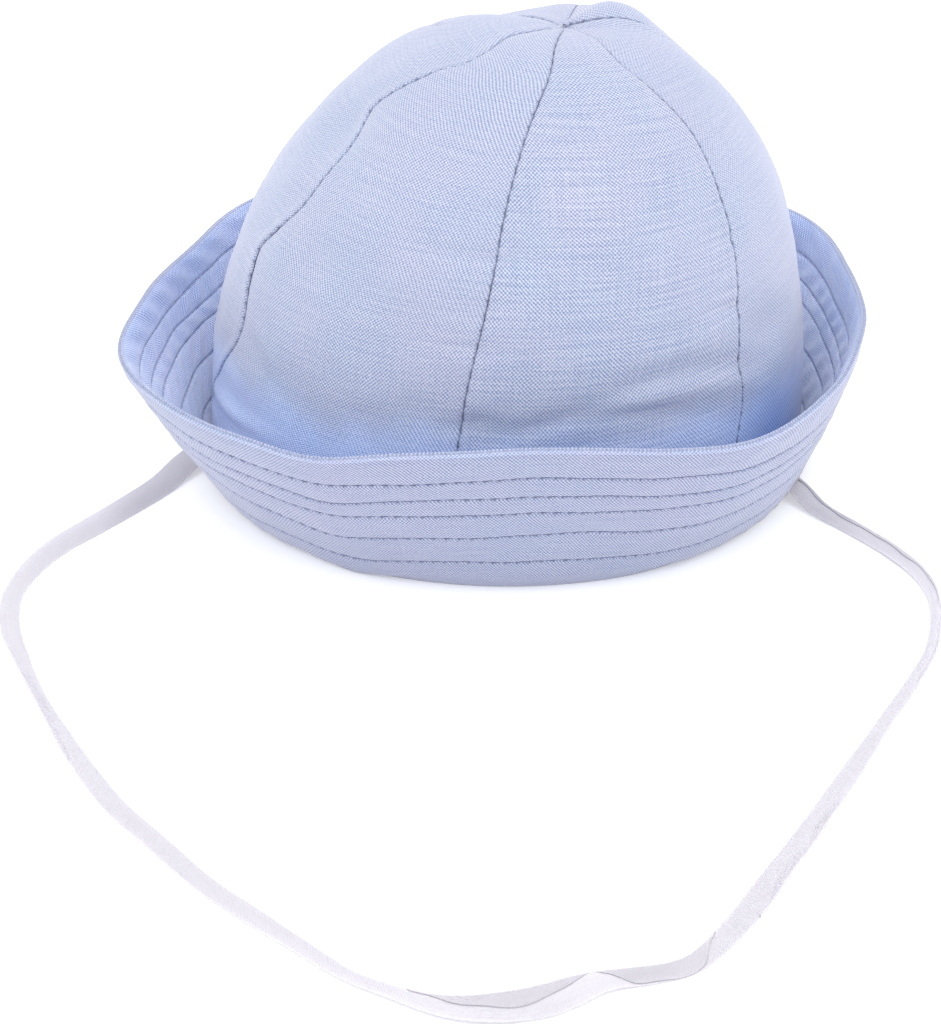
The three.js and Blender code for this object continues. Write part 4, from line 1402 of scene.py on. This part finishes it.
# %% Chambray of the brim
brim_outside = chambray(
    "chambray brim outside",
    slant=(-60, -40, 0.36, 0.64),
    contrast=(35, 90, 0.65, 0.34),
    slub=0.35,
    pitch=BRIM_STITCH,
    line=0.8,
    hole=1.0,
    tone_and_light=(0.88, 0.87, 0.905),
    widths=(0.24, 0.42),
)
# the rim's lighter, more blue yarns are a painted highlight
brim_rim_highlight = chambray(
    "chambray brim rim highlight",
    slant=0.5,
    contrast=0.5,
    slub=0.35,
    pitch=BRIM_STITCH,
    hole=0.2,
    tone_and_light=(1.03, 1.05, 1.11),
)
# the inside's lighter, more blue yarns and its lighter foot are painted light, beside the light that the
# subsurface carries through the cloth
brim_inside_lit = chambray(
    "chambray brim inside lit",
    slant=0.5,
    contrast=1.0,
    slub=0.35,
    base=1.0,
    deep=0.0,
    zone=(0.042, 0.022),
    tint=(1.38, 1.28, 1.16),
    pitch=BRIM_STITCH,
    hole=0.4,
    tone_and_light=(1.16, 1.25, 1.37),
    through=0.9,
    widths=(0.3, 0.4),
)
for finish in (brim_outside, brim_inside_lit, brim_rim_highlight):
    brim_cloth.data.materials.append(finish)
is_inside = (place >= 2 + len(places) + len(under_points)).ravel()
is_rim = ((place < 4) | (place >= count - 3)).ravel()
brim_cloth.data.polygons.foreach_set("material_index", np.where(is_rim, 2, is_inside).astype(np.int32))
print("brim faces inside", int(is_inside.sum()), "and on the rim", int(is_rim.sum()))

# %% [markdown]
# ## Thread
#
# Sewing thread is twisted from strands, which a fine noise hints at. Modelled strands would be smaller than a
# pixel.


# %% Thread materials
def thread(name, colour):
    """Twisted sewing thread, whose strands make fine slanted streaks."""
    material = bpy.data.materials.new(name)
    material.use_nodes = True
    tree = material.node_tree
    shader = tree.nodes["Principled BSDF"]
    shader.inputs["Roughness"].default_value = 0.7
    coords = tree.nodes.new("ShaderNodeTexCoord")
    noise = noise_node(tree, 2600.0, 1.0, coords.outputs["Object"], "3D")
    dark = tuple(0.7 * value for value in colour)
    tree.links.new(mix_colour(tree, noise.outputs["Fac"], dark, colour), shader.inputs["Base Color"])
    return material


crown_thread.data.materials.append(thread("slate thread", (0.19, 0.22, 0.33)))
outside_thread.data.materials.append(thread("blue thread", (0.13, 0.155, 0.26)))
inside_thread.data.materials.append(thread("inner blue thread", (0.42, 0.50, 0.74)))
print("three threads")


# %% [markdown]
# ## Cotton tape
#
# The tape is a plain white weave, a little lilac where the blue cloth has run in the wash. It uses the same
# weave group with finer yarns and little contrast, and the stored side chooses between its two colours.


# %% Tape material
def cotton_tape():
    """White cotton whose wrong side is a little duller, thin enough for light to spread in it."""
    material = bpy.data.materials.new("cotton tape")
    material.use_nodes = True
    tree = material.node_tree
    shader = tree.nodes["Principled BSDF"]
    shader.inputs["Roughness"].default_value = 0.9
    shader.inputs["Specular IOR Level"].default_value = 0.2
    shader.inputs["Subsurface Weight"].default_value = 0.7
    shader.inputs["Subsurface Radius"].default_value = (1.0, 1.0, 1.0)
    shader.inputs["Subsurface Scale"].default_value = 0.0015
    cloth = add_node(tree, "ShaderNodeUVMap", uv_map="cloth")
    weave = add_node(tree, "ShaderNodeGroup", node_tree=WEAVE)
    weave.inputs["Yarn"].default_value = 0.4
    weave.inputs["Slant"].default_value = 0.5
    weave.inputs["Contrast"].default_value = 0.25
    tree.links.new(cloth.outputs[0], weave.inputs["Cloth"])
    seam = add_node(tree, "ShaderNodeUVMap", uv_map="seam")
    side = add_node(tree, "ShaderNodeSeparateXYZ")
    tree.links.new(seam.outputs[0], side.inputs[0])
    right_side = mix_colour(tree, weave.outputs["White"], (0.46, 0.443, 0.485), (0.55, 0.528, 0.57))
    wrong_side = mix_colour(tree, weave.outputs["White"], (0.485, 0.46, 0.515), (0.55, 0.525, 0.58))
    colour = mix_colour(tree, side.outputs[0], right_side, wrong_side)
    tree.links.new(colour, shader.inputs["Base Color"])
    bump = add_node(tree, "ShaderNodeBump")
    bump.inputs["Strength"].default_value = 0.3
    bump.inputs["Distance"].default_value = 0.0001
    tree.links.new(weave.outputs["Height"], bump.inputs["Height"])
    tree.links.new(bump.outputs["Normal"], shader.inputs["Normal"])
    return material


chin_tape_cloth.data.materials.append(cotton_tape())
print(chin_tape_cloth.name, "has", chin_tape_cloth.data.materials[0].name)

# %% [markdown]
# ## Floor and light
#
# The photograph has soft light from all round, and its background is cut away to white. A picture of a
# studio could light the scene, but a pale world, a floor that glows a little and four soft round lamps give
# the same even light with one brighter side, and each can be set by itself.

# %% Floor material and world
floor_material = bpy.data.materials.new("pale floor")
floor_material.use_nodes = True
floor_shader = floor_material.node_tree.nodes["Principled BSDF"]
floor_shader.inputs["Base Color"].default_value = (0.92, 0.92, 0.93, 1)
floor_shader.inputs["Roughness"].default_value = 1.0
floor_shader.inputs["Specular IOR Level"].default_value = 0.0
floor_shader.inputs["Emission Color"].default_value = (1.0, 1.0, 1.0, 1)
floor_shader.inputs["Emission Strength"].default_value = 0.22
floor_mesh.materials.append(floor_material)

world = bpy.data.worlds.new("studio")
bpy.context.scene.world = world
world.use_nodes = True
world.node_tree.nodes["Background"].inputs["Color"].default_value = (0.97, 0.98, 1.0, 1)
world.node_tree.nodes["Background"].inputs["Strength"].default_value = 1.2


# %% Lamps
AIM = (0, 0, 0.05)


def soft_box(name, place, aim, size, watts):
    """A round soft lamp at a place, turned so that its light falls on the aim."""
    data = bpy.data.lights.new(name, "AREA")
    data.shape = "DISK"
    data.size = size
    data.energy = watts
    lamp = bpy.data.objects.new(name, data)
    bpy.context.scene.collection.objects.link(lamp)
    away = np.array(place, float) - np.array(aim, float)
    lamp.location = place
    turn_z = np.arctan2(away[0], -away[1])
    lamp.rotation_euler = (np.arctan2(np.hypot(away[0], away[1]), away[2]), 0, turn_z)
    return lamp


soft_box("top light", (0.1, 0.1, 2.0), AIM, 0.7, 9)
soft_box("front light", (0.0, -1.5, 0.95), AIM, 0.6, 4)
soft_box("left light", (-1.5, -0.3, 1.3), AIM, 1.2, 6.5)
soft_box("right light", (1.5, -0.3, 1.3), AIM, 1.2, 7.2)

bpy.context.scene.view_settings.view_transform = "Standard"
print("lamps:", ", ".join(lamp.name for lamp in bpy.data.lights))
